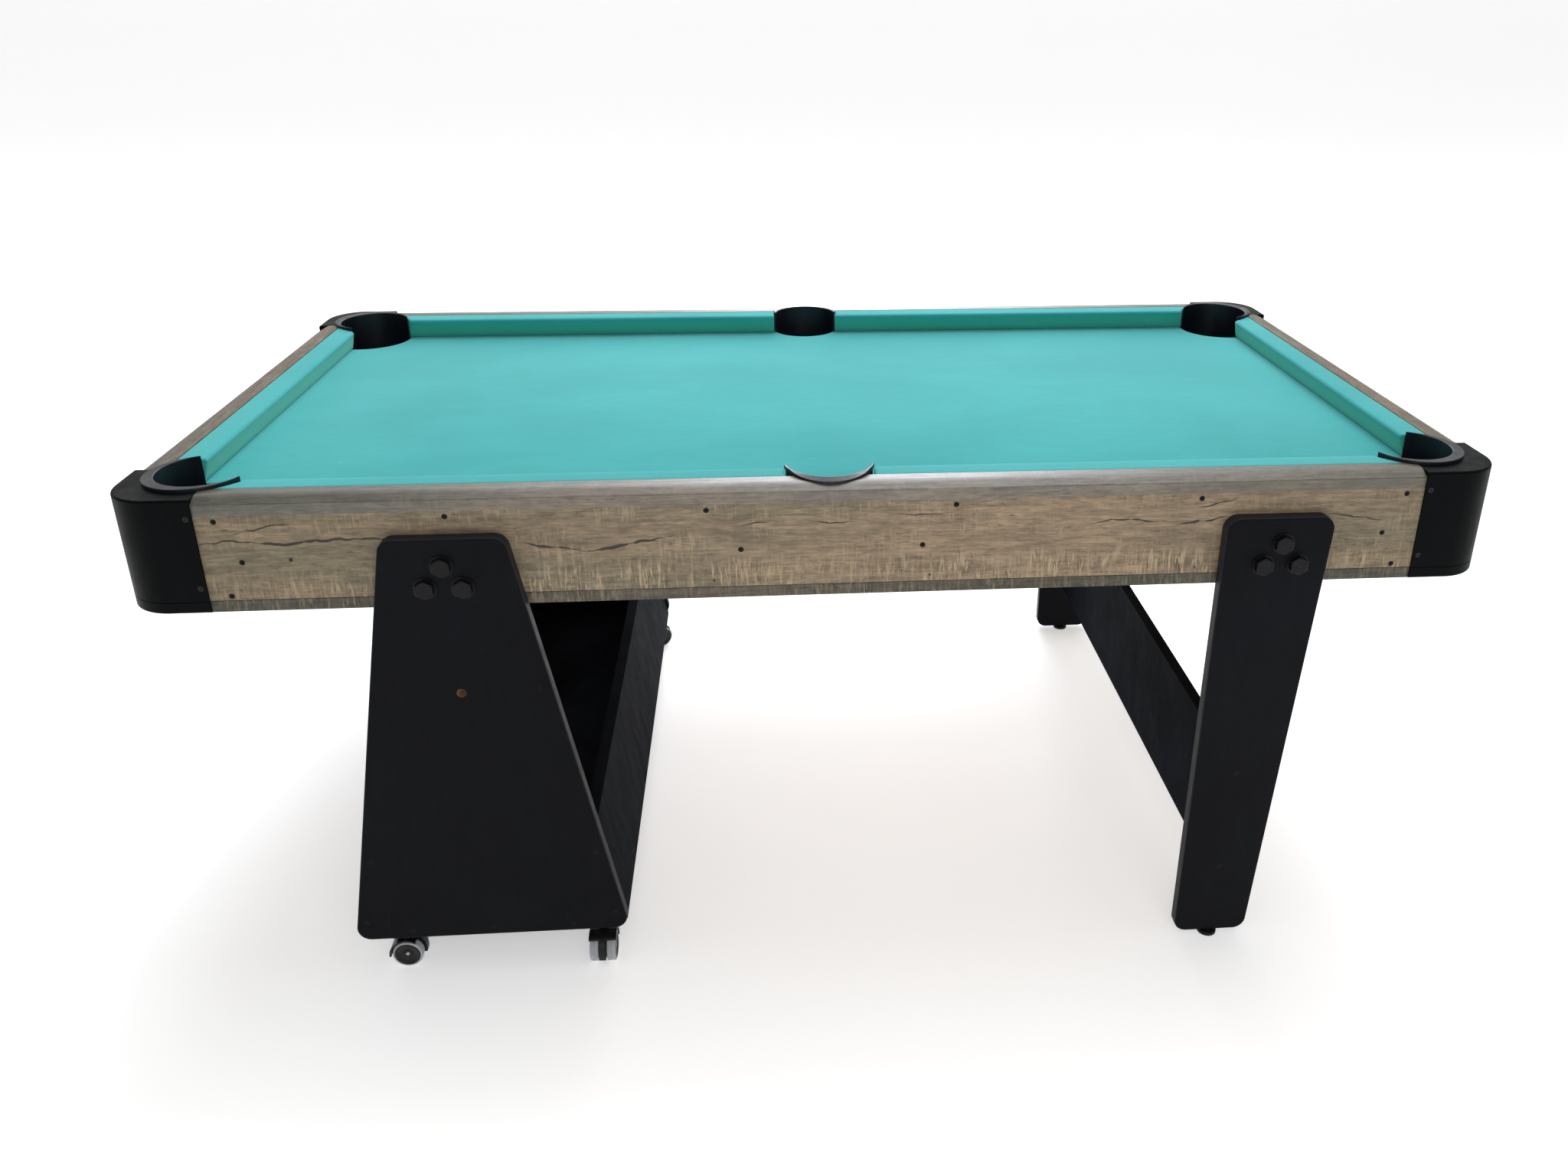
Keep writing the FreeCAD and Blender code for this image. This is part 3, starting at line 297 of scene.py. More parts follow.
def split_grain(look, space, run, cracks):
    """Where the print shows splits: short chance veins, and the cracks that are named."""
    wave = look.noise(look.scaled(space, (3.0, 26.0, 26.0)), 1.0, 4.0, 0.62, 0.8)
    vein = look.band(look.math("ABSOLUTE", look.less(wave, 0.5)), 0.0, 0.0045, 1.0, 0.0)
    where = look.band(look.noise(look.scaled(space, (7.0, 40.0, 40.0)), 1.0, 1.0), 0.58, 0.68)
    split = look.times(look.times(vein, where), 0.7)
    if not cracks:
        return split
    named = strongest(look, [crack(look, run, look.z, *place) for place in cracks])
    return look.math("MAXIMUM", look.times(split, 0.5), named)


def wood_print(name, along, tones, saw, cracks=(), pin_marks_and_hole_shade=(), saw_band=None, roughness=0.5, gloss=0.4,
               end_shade=0.4, seed=0.0):
    """Printed rough-sawn wood, with its grain along x or y. tones are its tan, grey, dark
    and bright colours. saw is how strongly the blade's cross marks show: everywhere, or
    mostly low down, fading out between the two heights of saw_band."""
    look = Look(name, Specular_IOR_Level=gloss)
    run, side = (look.x, look.y) if along == "x" else (look.y, look.x)
    space = look.point(look.add(run, seed), side, look.z)
    colour, streak, grain = board_grain(look, space, tones)
    colour, sawn = saw_marks(look, space, colour, tones, saw, saw_band)
    split = split_grain(look, space, run, cracks)
    colour = look.mix(split, colour, paint(52, 45, 39))
    # Printed pin marks, and the painted shade of one open hole
    if pin_marks_and_hole_shade:
        marks = strongest(look, [spot(look, run, look.z, *place) for place in pin_marks_and_hole_shade])
        colour = look.mix(marks, colour, paint(26, 22, 20))
    # Painted shade: the print grows darker and a little greener towards the cabinet's ends, as much as
    # end_shade says
    if along == "x":
        outwards = look.band(look.math("ABSOLUTE", look.x), 0.2, 0.95)
        end_shaded = look.mix(1.0, colour, END_SHADE_TINT, "MULTIPLY")
        colour = look.mix(look.times(outwards, end_shade), colour, end_shaded)
    look.colour(colour)
    look.roughness(look.band(streak, 0.2, 0.8, roughness + 0.06, roughness - 0.06))

    height = look.add(look.times(grain, 0.35), look.times(streak, 0.3))
    height = look.add(height, look.times(sawn, 0.4))
    height = look.less(height, look.times(split, 1.2))
    look.relief(height, 0.25 * MM, 0.6)
    return look.material


APRON_TONES = (paint(141, 121, 97), paint(124, 112, 90), paint(76, 64, 50), paint(172, 152, 122))
RAIL_TONES = (paint(119, 104, 86), paint(104, 97, 86), paint(60, 51, 43), paint(143, 130, 112))
TRIM_TONES = (paint(88, 80, 66), paint(77, 73, 60), paint(44, 39, 32), paint(120, 108, 88))
# Heights between which the saw marks of the aprons and trims fade out
SAW_BAND = (0.655, 0.700)


def apron_print(side, along, cracks=(), pin_marks_and_hole_shade=(), seed=0.0):
    return wood_print("apron_print_" + side, along, APRON_TONES, 0.95, cracks, pin_marks_and_hole_shade, SAW_BAND, seed=seed)


def rail_print(along, roughness, gloss, seed, end_shade=0.0):
    return wood_print("rail_print_" + along, along, RAIL_TONES, 0.2, roughness=roughness, gloss=gloss,
                      end_shade=end_shade, seed=seed)


def trim_print(along, seed):
    return wood_print("trim_print_" + along, along, TRIM_TONES, 0.9, saw_band=SAW_BAND, seed=seed)


def felt(name, seed=0.0, shaded=False):
    """Short napped cloth: fine fibres, faint brushed streaks and a soft sheen. On the cushions
    the faces below the nose are painted greener than their tops: painted shade."""
    look = Look(name, Sheen_Weight=0.35, Sheen_Roughness=0.45, Specular_IOR_Level=0.18)
    look.shader.inputs["Sheen Tint"].default_value = paint(190, 240, 235)
    space = look.node("VectorMath", look.place, (seed, seed, 0), operation="ADD").outputs[0]
    cloud = look.noise(look.scaled(space, (2.0, 3.2, 3.2)), 1.0, 3.0, 0.55, 0.3)
    colour = look.mix(look.band(cloud, 0.35, 0.65), paint(58, 161, 162), paint(65, 170, 170))
    if shaded:
        # Painted shade: below the cushion's nose the cloth is coloured greener than on top
        face = look.band(look.z, NOSE_HEIGHT, NOSE_HEIGHT - 5 * MM)
        colour = look.mix(face, colour, paint(64, 176, 158))
    brushed = look.noise(look.scaled(space, (14.0, 40.0, 40.0)), 1.0, 4.0, 0.62, 1.2)
    colour = look.shade(colour, look.band(brushed, 0.3, 0.7, 0.975, 1.025))
    scuff = look.noise(look.scaled(space, (30.0, 90.0, 90.0)), 1.0, 3.0, 0.7, 2.0)
    colour = look.mix(look.times(look.band(scuff, 0.66, 0.74), 0.14), colour, paint(140, 214, 210))
    fibre = look.noise(space, 2600.0, 3.0, 0.7)
    colour = look.shade(colour, look.band(fibre, 0.3, 0.7, 0.88, 1.10))
    tuft = look.noise(space, 620.0, 2.0, 0.6, 0.8)
    look.colour(look.shade(colour, look.band(tuft, 0.3, 0.7, 0.95, 1.04)))
    look.roughness(look.band(tuft, 0.3, 0.7, 0.86, 0.97))
    look.relief(look.add(look.times(fibre, 0.4), tuft), 0.25 * MM, 0.5)
    return look.material


def moulded(name, tone, roughness, grain_depth, dust=0.06, gloss=0.2):
    """Moulded plastic with a fine eroded grain and a little handling wear."""
    look = Look(name, Specular_IOR_Level=gloss)
    wear = look.noise(look.place, 22.0, 4.0, 0.65, 0.6)
    colour = look.shade(tone, look.band(wear, 0.3, 0.75, 0.85, 1.25))
    speck = look.band(look.noise(look.place, 900.0, 2.0), 0.70, 0.78)
    look.colour(look.mix(look.times(speck, dust), colour, paint(150, 150, 148)))
    smear = look.noise(look.scaled(look.place, (30.0, 30.0, 8.0)), 1.0, 3.0, 0.6, 1.0)
    look.roughness(look.band(smear, 0.3, 0.7, roughness - 0.05, roughness + 0.07))
    look.relief(look.cells(look.place, 1500.0), grain_depth, 0.5)
    return look.material


# The open round hole in a base panel
PEEP_HEIGHT = 0.495
PEEP_RADIUS = 6 * MM


def black_board(name, raw_hole=False, gloss=0.08, low=paint(8, 9, 13), high=paint(12, 14, 19),
                edges=0.0):
    """Black melamine: a pressed pore texture, faint scuffs and fine dust. Where an upright panel's
    surface turns away from its front and back, on its edges and rims, a greyer painted highlight lies, and
    inside a drilled hole the raw fibreboard shows."""
    look = Look(name, Specular_IOR_Level=gloss)
    cloud = look.noise(look.place, 5.0, 4.0, 0.6, 0.5)
    colour = look.mix(look.band(cloud, 0.35, 0.7), low, high)
    scuff = look.noise(look.scaled(look.place, (40.0, 40.0, 9.0)), 1.0, 4.0, 0.7, 1.5)
    colour = look.mix(look.times(look.band(scuff, 0.66, 0.76), 0.10), colour, paint(70, 72, 76))
    dust = look.band(look.noise(look.place, 420.0, 2.0), 0.70, 0.76)
    colour = look.mix(look.times(dust, 0.05), colour, paint(120, 120, 120))
    # Painted highlight: edges and rims turned away from front and back are coloured greyer
    normal = look.node("SeparateXYZ", look.node("TexCoord").outputs["Normal"]).outputs[1]
    edge = look.band(look.math("ABSOLUTE", normal), 0.96, 0.55)
    colour = look.mix(look.times(edge, edges), colour, paint(52, 53, 57))
    if raw_hole:
        base_middle = (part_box("base_panel_front")[0].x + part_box("base_panel_front")[1].x) / 2
        inside = spot(look, look.x, look.z, base_middle, PEEP_HEIGHT, PEEP_RADIUS * 1.04)
        raw = look.mix(look.noise(look.place, 700.0, 3.0), paint(196, 140, 88), paint(232, 184, 128))
        colour = look.mix(inside, colour, raw)
    look.colour(colour)
    look.roughness(look.band(scuff, 0.3, 0.7, 0.44, 0.56))
    pore = look.noise(look.scaled(look.place, (260.0, 260.0, 900.0)), 1.0, 3.0, 0.6)
    look.relief(pore, 0.12 * MM, 0.45)
    return look.material


def metal(name, tone, roughness, metallic, scratches=0.1, gloss=0.5):
    """Painted or plated steel, slightly stained, with fine scratches."""
    look = Look(name, Metallic=metallic, Specular_IOR_Level=gloss)
    stain = look.noise(look.place, 180.0, 4.0, 0.65, 0.8)
    colour = look.shade(tone, look.band(stain, 0.3, 0.7, 0.8, 1.2))
    line = look.noise(look.scaled(look.place, (300.0, 2600.0, 900.0)), 1.0, 2.0)
    look.colour(look.mix(look.times(look.band(line, 0.62, 0.75), scratches), colour, paint(200, 200, 198)))
    look.roughness(look.band(stain, 0.3, 0.7, roughness - 0.08, roughness + 0.12))
    look.relief(line, 0.03 * MM, 0.5)
    return look.material


def raw_timber(name):
    """Bare softwood, planed, with soft growth rings and a fine grain."""
    look = Look(name, Specular_IOR_Level=0.3)
    ring = look.noise(look.scaled(look.place, (7.0, 7.0, 90.0)), 1.0, 4.0, 0.6, 1.4)
    colour = look.mix(look.band(ring, 0.35, 0.65), paint(206, 172, 124), paint(176, 136, 88))
    grain = look.noise(look.scaled(look.place, (60.0, 60.0, 900.0)), 1.0, 3.0, 0.6)
    look.colour(look.shade(colour, look.band(grain, 0.3, 0.7, 0.88, 1.08)))
    look.roughness(look.band(grain, 0.3, 0.7, 0.6, 0.75))
    look.relief(grain, 0.15 * MM, 0.5)
    return look.material


def fibreboard(name):
    """Raw fibreboard: pressed fibres in flecks of light and dark brown."""
    look = Look(name, Specular_IOR_Level=0.25)
    fleck = look.noise(look.place, 500.0, 5.0, 0.75, 0.6)
    colour = look.mix(look.band(fleck, 0.35, 0.65), paint(142, 110, 74), paint(186, 152, 110))
    cloud = look.noise(look.place, 9.0, 3.0)
    look.colour(look.shade(colour, look.band(cloud, 0.3, 0.7, 0.9, 1.08)))
    look.roughness(look.band(fleck, 0.3, 0.7, 0.72, 0.88))
    look.relief(fleck, 0.2 * MM, 0.5)
    return look.material


LOOKS = {
    "apron_front": apron_print("front", "x", FRONT_CRACKS, PIN_MARKS_AND_HOLE_SHADE),
    "apron_back": apron_print("back", "x", seed=3.7),
    "apron_left": apron_print("left", "y", seed=7.1),
    "apron_right": apron_print("right", "y", seed=9.3),
    "rail_x": rail_print("x", roughness=0.45, gloss=0.9, seed=1.9, end_shade=0.85),
    "rail_y": rail_print("y", roughness=0.50, gloss=0.2, seed=5.3),
    "trim_x": trim_print("x", seed=2.6),
    "trim_y": trim_print("y", seed=8.2),
    "felt": felt("felt_bed"),
    "cushion_felt": felt("felt_cushion", seed=4.1, shaded=True),
    "cap": moulded("cap_plastic", paint(6, 8, 9), 0.45, 0.08 * MM, gloss=0.05),
    "liner": moulded("liner_plastic", paint(13, 17, 26), 0.38, 0.02 * MM, dust=0.02, gloss=0.35),
    "hood": moulded("hood_plastic", paint(20, 20, 22), 0.36, 0.05 * MM, gloss=0.3),
    "tread": moulded("tread_plastic", paint(168, 171, 174), 0.50, 0.05 * MM, dust=0.0, gloss=0.35),
    "foot": moulded("foot_plastic", paint(20, 20, 22), 0.50, 0.08 * MM),
    "board": black_board("black_melamine", edges=0.7),
    "inner_board": black_board("black_melamine_inner", gloss=0.004, low=paint(17, 20, 26),
                               high=paint(25, 29, 35)),
    "base_panel": black_board("black_melamine_drilled", raw_hole=True, edges=0.7),
    "timber": raw_timber("raw_softwood"),
    "fibreboard": fibreboard("raw_fibreboard"),
    "black_steel": metal("black_steel", paint(13, 13, 16), 0.34, 0.0, scratches=0.04, gloss=0.16),
    "screw_head": metal("screw_head", paint(10, 10, 12), 0.25, 0.0, scratches=0.05, gloss=0.3),
    "zinc": metal("zinc_steel", paint(176, 178, 180), 0.34, 1.0),
}


# Looks of the CAD nodes that stay as they are, apart from the printed boards
FINISHES = {
    "timber": ("rail_battens", "corner_blocks", "cross_beams"),
    "fibreboard": ("bed_board",),
    "cap": ["corner_cap_" + corner for corner in CORNERS],
    "base_panel": ("base_panel_front", "base_panel_back"),
    "inner_board": ("base_side_left", "base_side_right", "base_floor", "leg_brace"),
    "board": ("leg_front", "leg_back"),
    "black_steel": ("leg_bolts", "bolt_washers", "apron_screws", "panel_screws"),
    "screw_head": ("cap_screws",),
    "zinc": ("bolt_nuts", "foot_inserts", "caster_plates", "caster_screws"),
    "hood": ["caster_hood_" + caster for caster in CASTERS],
    "foot": ("foot_front", "foot_back"),
}


def finish_node(node, look):
    mesh = frame["nodes"][node].data
    mesh.materials.clear()
    mesh.materials.append(LOOKS[look])


def finish_cad_nodes():
    for side, grain in (("front", "x"), ("back", "x"), ("left", "y"), ("right", "y")):
        finish_node("apron_" + side, "apron_" + side)
        finish_node("rail_" + side, "rail_" + grain)
        finish_node("trim_" + side, "trim_" + grain)
    for look, nodes in FINISHES.items():
        for node in nodes:
            finish_node(node, look)


# ------------------------------------------------------------------- meshes

def make_object(name, mesh_data, look, body, replaced=(), smooth=40):
    """Turns a bmesh into a piece that rides on a body and stands for CAD nodes."""
    bmesh.ops.remove_doubles(mesh_data, verts=mesh_data.verts, dist=1e-6)
    bmesh.ops.recalc_face_normals(mesh_data, faces=mesh_data.faces)
    mesh = bpy.data.meshes.new(name)
    mesh_data.to_mesh(mesh)
    mesh_data.free()
    mesh.materials.append(LOOKS[look])
    mesh.shade_smooth()
    mesh.set_sharp_from_angle(angle=math.radians(smooth))
    piece = bpy.data.objects.new(name, mesh)
    bpy.context.scene.collection.objects.link(piece)
    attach(piece, body)
    if replaced:
        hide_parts(*replaced)
    return piece


def loft(mesh_data, loops, closed_run=False, capped=True):
    """Joins closed loops of equal length, one to the next, and caps the ends."""
    rows = [[mesh_data.verts.new(point) for point in loop] for loop in loops]
    count = len(rows[0])
    spans = list(zip(rows, rows[1:])) + ([(rows[-1], rows[0])] if closed_run else [])
    for first, second in spans:
        for index in range(count):
            after = (index + 1) % count
            mesh_data.faces.new((first[index], first[after], second[after], second[index]))
    if capped and not closed_run:
        mesh_data.faces.new(rows[0])
        mesh_data.faces.new(list(reversed(rows[-1])))
    return rows


def corner_place(corner):
    """Turns a point (inwards along the diagonal, across it, up) into the table's frame."""
    sign_x, sign_y = CORNERS[corner]
    inward = Vector((-sign_x, -sign_y, 0)).normalized()
    across = Vector((-inward.y, inward.x, 0))
    start = Vector((sign_x * HALF_LENGTH, sign_y * HALF_WIDTH, 0))
    return lambda along, aside, up: start + inward * along + across * aside + Vector((0, 0, up))


def side_place(sign_y):
    """Turns a point (inwards from the long side, along it, up) into the table's frame."""
    return lambda inward, along, up: Vector((along, sign_y * (HALF_WIDTH - inward), up))


# Each pocket's well is the space two circles share: (centre, radius) of each
CORNER_WELL = ((CORNER_CENTRE, CORNER_HOLE), (CORNER_FRONT_CENTRE, CORNER_FRONT))
SIDE_WELL = ((SIDE_BACK_CENTRE, SIDE_HOLE), (SIDE_FRONT_CENTRE, SIDE_HOLE))


def well_middle(well):
    """Halfway from the back of a well to its front."""
    (back, back_size), (front, front_size) = well
    return (back - back_size + front + front_size) / 2


def well_edge(well, angle, grow=0.0):
    """Distance from a well's middle to its edge: the nearer of the two circles."""
    middle = well_middle(well)
    along, aside = math.cos(angle), math.sin(angle)
    reaches = []
    for centre, size in well:
        offset = middle - centre
        reaches.append(-offset * along + math.sqrt((size + grow) ** 2 - (offset * aside) ** 2))
    return min(reaches)


def wall_section(radius, thick, low, fall=0.0):
    """Section through a pocket's wall and collar, as (distance out, height). The
    collar's top falls outwards by fall."""
    edge = min(0.9 * MM, thick / 3)
    lip = min(1.8 * MM, thick / 2.4)
    flat = min(0.4 * MM, thick / 10)
    wall = radius + min(LINER_WALL, thick)
    outer = radius + thick
    brim = COLLAR_TOP - fall
    seat = RAIL_TOP - fall
    points = [(radius, low), (wall, low), (wall, seat), (outer, seat), (outer, brim - edge - flat)]
    for turn in range(0, 91, 30):
        bend = math.radians(turn)
        points.append((outer - edge * (1 - math.cos(bend)), brim - edge * (1 - math.sin(bend))))
    points += [(outer - edge - flat, brim + fall * 0.05), (radius + lip + flat, COLLAR_TOP - fall * 0.05)]
    for turn in range(0, 91, 15):
        bend = math.radians(turn)
        points.append((radius + lip * (1 - math.sin(bend)), COLLAR_TOP - lip * (1 - math.cos(bend))))
    return points + [(radius, COLLAR_TOP - lip - flat)]


def arc_wall(mesh_data, place, well, collar, mouth, wing=None):
    """The wall behind a pocket and its raised collar. The wall's inner face lies on
    the well's back circle and the collar's outer edge on its own circle, so the collar
    tapers into two horns. Beyond the wing line the wall ends above the bed."""
    centre, radius = well[0]
    collar_centre, collar_radius = collar
    reach = math.acos((mouth - centre) / radius)
    sweep = 2 * math.pi - 2 * reach
    angles = [reach + sweep * step / ROUND_STEPS for step in range(ROUND_STEPS + 1)]
    if wing:
        fold = math.acos((wing - centre) / radius)
        angles = sorted(angles + [fold, fold - 1e-4, 2 * math.pi - fold, 2 * math.pi - fold + 1e-4])
    loops = []
    for angle in angles:
        along, aside = math.cos(angle), math.sin(angle)
        offset = centre - collar_centre
        outer = -offset * along + math.sqrt(collar_radius ** 2 - (offset * aside) ** 2)
        over_bed = wing is not None and centre + radius * along > wing + 1e-6
        low = BED_TOP + 0.3 * MM if over_bed else CUP_TOP
        if wing is None:
            section = wall_section(radius, max(outer - radius, 0.6 * MM), low)
        else:
            thick = max(outer - radius, SIDE_HORN)
            widened = (thick - SIDE_FALL_FROM) / (SIDE_FALL_WHOLE - SIDE_FALL_FROM)
            section = wall_section(radius, thick, low, SIDE_FALL * min(1.0, max(0.0, widened)))
        loops.append([place(centre + out * along, out * aside, up) for out, up in section])
    loft(mesh_data, loops)


def cup(mesh_data, place, well):
    """A bowl below the bed. Its wall drops straight from the board, then turns through
    a large round into the floor."""
    floor_in = CUP_FLOOR + LINER_WALL
    bend_top = CUP_TOP - 12 * MM
    flat = 0.42
    inside = [(1.0, CUP_TOP), (1.0, bend_top)]
    for turn in range(15, 91, 15):
        bend = math.radians(turn)
        share = flat + (1 - flat) * math.cos(bend)
        inside.append((share, bend_top - (bend_top - floor_in) * math.sin(bend)))
    inside += [(0.22, floor_in), (0.05, floor_in)]
    outside = []
    for share, up in inside:
        sunk = min(1.0, (CUP_TOP - up) / (CUP_TOP - floor_in))
        outside.append((share, up - LINER_WALL * sunk))
    middle = well_middle(well)
    loops = []
    for grow, rows in ((LINER_WALL, reversed(outside)), (0.0, inside)):
        for share, up in rows:
            loop = []
            for step in range(ROUND_STEPS):
                angle = 2 * math.pi * step / ROUND_STEPS
                out = well_edge(well, angle, grow) * share
                loop.append(place(middle + out * math.cos(angle), out * math.sin(angle), up))
            loops.append(loop)
    loft(mesh_data, loops)


def make_liner(name, place, well, collar, mouth, wing=None):
    """One pocket: its wall with the collar, and the cup that holds the balls."""
    made = bmesh.new()
    arc_wall(made, place, well, collar, mouth, wing)
    cup(made, place, well)
    make_object("liner_" + name, made, "liner", "root", ["pocket_" + name], 50)


def make_liners():
    for corner in CORNERS:
        collar = (CORNER_COLLAR_CENTRE, CORNER_COLLAR)
        make_liner(corner, corner_place(corner), CORNER_WELL, collar, CORNER_MOUTH)
    for side, sign in (("front", -1), ("back", 1)):
        collar = (SIDE_COLLAR_CENTRE, SIDE_COLLAR)
        make_liner("middle_" + side, side_place(sign), SIDE_WELL, collar, SIDE_MOUTH, SIDE_WING)


# ------------------------------------------------------------ cushions, felt

CUSHION_DEPTH = 38 * MM
CUSHION_GAP = 0.3 * MM
# Distances between a cushion's sections: along it, and from its end to the first few
CUSHION_STEP = 8 * MM
END_STEPS = (0.0, 0.8 * MM, 2.0 * MM, 4.0 * MM, 7.0 * MM)
# How far the cover is drawn in: slack all along, puckered and tucked near the ends
SLACK = 0.25 * MM
PUCKER, PUCKER_REACH = 0.5 * MM, 30 * MM
TUCK, TUCK_REACH = 1.6 * MM, 4 * MM


def cushion_profile():
    """Section of a covered cushion: (inwards from the cabinet's edge, up)."""
    back = RAIL_WIDTH + 0.2 * MM
    nose = RAIL_WIDTH + CUSHION_DEPTH - 0.2 * MM
    foot = BED_TOP + CUSHION_GAP
    points = [(back, foot), (back, RAIL_TOP - 2.2 * MM), (back + 0.4 * MM, RAIL_TOP - 1.1 * MM),
              (back + 1.4 * MM, RAIL_TOP - 0.35 * MM), (back + 4 * MM, RAIL_TOP - 0.15 * MM)]
    for share in (0.25, 0.5, 0.75):
        crown = 0.15 * MM * math.sin(math.pi * share)
        points.append((back + share * (nose - back - 5 * MM), RAIL_TOP - 0.2 * MM - 0.6 * MM * share + crown))
    bend = 4.6 * MM
    middle = (nose - bend, RAIL_TOP - 1.1 * MM - bend)
    for turn in range(80, -31, -10):
        angle = math.radians(turn)
        points.append((middle[0] + bend * math.cos(angle), middle[1] + bend * math.sin(angle)))
    under = nose - 7 * MM
    points += [(nose - 3.2 * MM, BED_TOP + 17 * MM), (nose - 5.6 * MM, BED_TOP + 8 * MM),
               (under - 0.4 * MM, BED_TOP + 1.6 * MM), (under - 1.6 * MM, foot)]
    for share in (0.8, 0.6, 0.4, 0.2):
        points.append((back + share * (under - 1.6 * MM - back), foot))
    return points


def fill_end(mesh_data, row, profile):
    """Closes a cushion's end with upright strips, so that it follows the curve of the
    pocket. The section's upper and lower edges both run from its back to its nose."""
    nose = max(range(len(profile)), key=lambda index: profile[index][0])
    upper = list(range(nose + 1))
    lower = [0] + list(range(len(profile) - 1, nose - 1, -1))
    high = low = 0
    while high < len(upper) - 1 or low < len(lower) - 1:
        here = [row[upper[high]], row[lower[low]]]
        next_up = profile[upper[high + 1]][0] if high < len(upper) - 1 else math.inf
        next_low = profile[lower[low + 1]][0] if low < len(lower) - 1 else math.inf
        if next_up <= next_low:
            high += 1
            corner = row[upper[high]]
        else:
            low += 1
            corner = row[lower[low]]
        if len({*here, corner}) == 3:
            mesh_data.faces.new((*here, corner))


def hollow(inward):
    """How far a cushion's end draws back from a corner pocket's middle at a distance
    in from the cabinet's edge, to fit round the liner."""
    away = CORNER_CENTRE / math.sqrt(2) - inward
    size = CORNER_HOLE + LINER_WALL + 0.4 * MM
    return math.sqrt(size ** 2 - away ** 2)


def cushion_stations(length):
    """Shares of a cushion's length at which its section stands, closer at its ends."""
    count = max(8, round(length / CUSHION_STEP))
    close = [distance / length for distance in END_STEPS]
    middle = [index / count for index in range(count + 1)]
    middle = [share for share in middle if close[-1] < share < 1 - close[-1]]
    return sorted({*close, *middle, *(1 - share for share in close)})


def drawn_point(inward, up, along, near_end, seed):
    """A point of the section after the cloth has been drawn in: tucked and puckered
    towards the cushion's end, and a little slack all along."""
    depth = inward - RAIL_WIDTH
    height = (up - BED_TOP) / (RAIL_TOP - BED_TOP)
    tuck = TUCK * max(0.0, 1 - near_end / TUCK_REACH) ** 2
    ripple = noise.noise(Vector((along * 55, up * 30, 0)) + seed) * PUCKER
    ripple *= math.exp(-near_end / PUCKER_REACH)
    slack = noise.noise(Vector((along * 6, up * 20, 0)) + seed) * SLACK
    if depth > 6 * MM:
        inward += slack
    if depth > CUSHION_DEPTH / 2:
        inward -= (tuck + ripple) * height
    if height > 0.9:
        up -= tuck + abs(ripple)
    return min(inward, RAIL_WIDTH + CUSHION_DEPTH), max(up, BED_TOP + CUSHION_GAP)


def make_cushion(name, place_point, first, last, pocket_first, pocket_last):
    """A covered cushion from first to last along its side; at a corner pocket those
    are the pocket's middle. Its cloth is drawn in a little towards each end."""
    profile = cushion_profile()
    draw = random.Random(name)
    seed = Vector((draw.uniform(0, 50), draw.uniform(0, 50), 0))
    length = last - first
    loops = []
    for share in cushion_stations(length):
        near_end = min(share, 1 - share) * length
        loop = []
        for inward, up in profile:
            start = first + (hollow(inward) if pocket_first else 0)
            end = last - (hollow(inward) if pocket_last else 0)
            along = start + share * (end - start)
            loop.append(place_point(along, *drawn_point(inward, up, along, near_end, seed)))
        loops.append(loop)
    made = bmesh.new()
    rows = loft(made, loops, capped=False)
    fill_end(made, rows[0], profile)
    fill_end(made, rows[-1], profile)
    node = name.replace("_cover", "")
    piece = make_object(name, made, "cushion_felt", "root", [node], 55)


def make_cushions():
    start = CORNER_CENTRE / math.sqrt(2)
    side_gap = SIDE_HOLE + LINER_WALL + 0.3 * MM
    for side, sign in (("front", -1), ("back", 1)):
        def along_x(along, inward, up, sign=sign):
            return Vector((along, sign * (HALF_WIDTH - inward), up))
        make_cushion("cushion_%s_left_cover" % side, along_x, -HALF_LENGTH + start, -side_gap, True, False)
        make_cushion("cushion_%s_right_cover" % side, along_x, side_gap, HALF_LENGTH - start, False, True)
    for side, sign in (("left", -1), ("right", 1)):
        def along_y(along, inward, up, sign=sign):
            return Vector((sign * (HALF_LENGTH - inward), along, up))
        make_cushion("cushion_%s_cover" % side, along_y, -HALF_WIDTH + start, HALF_WIDTH - start, True, True)


# The bed's cloth at its edge, and how far aside of a pocket's middle the edge reaches
CLOTH_BEND = 3.5 * MM
CLOTH_DROP = 13 * MM
CLOTH_SUNK = 0.02 * MM
CORNER_REACH = 66 * MM
SIDE_REACH = 61.5 * MM


def circle_points(place, centre, radius, start, end, steps):
    """Points along a circle, each with the direction away from its middle."""
    found = []
    for step in range(steps + 1):
        angle = start + (end - start) * step / steps
        along, aside = math.cos(angle), math.sin(angle)
        edge = place(centre + radius * along, radius * aside, 0)
        found.append((edge, place(centre + (radius + 1) * along, (radius + 1) * aside, 0) - edge))
    return found


def front_arc(place, well, widest, turn):
    """The bed's edge across a pocket's mouth, between the points where it has come
    out to the widest reach aside that still lies under the cushions."""
    centre, radius = well[1][0], well[1][1] + LINER_WALL - 0.2 * MM
    span = math.asin(widest / radius)
    return circle_points(place, centre, radius, -turn * span, turn * span, 48)


def bed_outline():
    """The cloth's edge, anticlockwise from above: arcs at the six pockets and straight
    runs that lie hidden under the cushions."""
    arcs = [front_arc(corner_place(corner), CORNER_WELL, CORNER_REACH, -1)
            for corner in ("front_left", "front_right", "back_right", "back_left")]
    front = front_arc(side_place(-1), SIDE_WELL, SIDE_REACH, 1)
    back = front_arc(side_place(1), SIDE_WELL, SIDE_REACH, -1)
    return [*arcs[0], *front, *arcs[1], *arcs[2], *back, *arcs[3]]


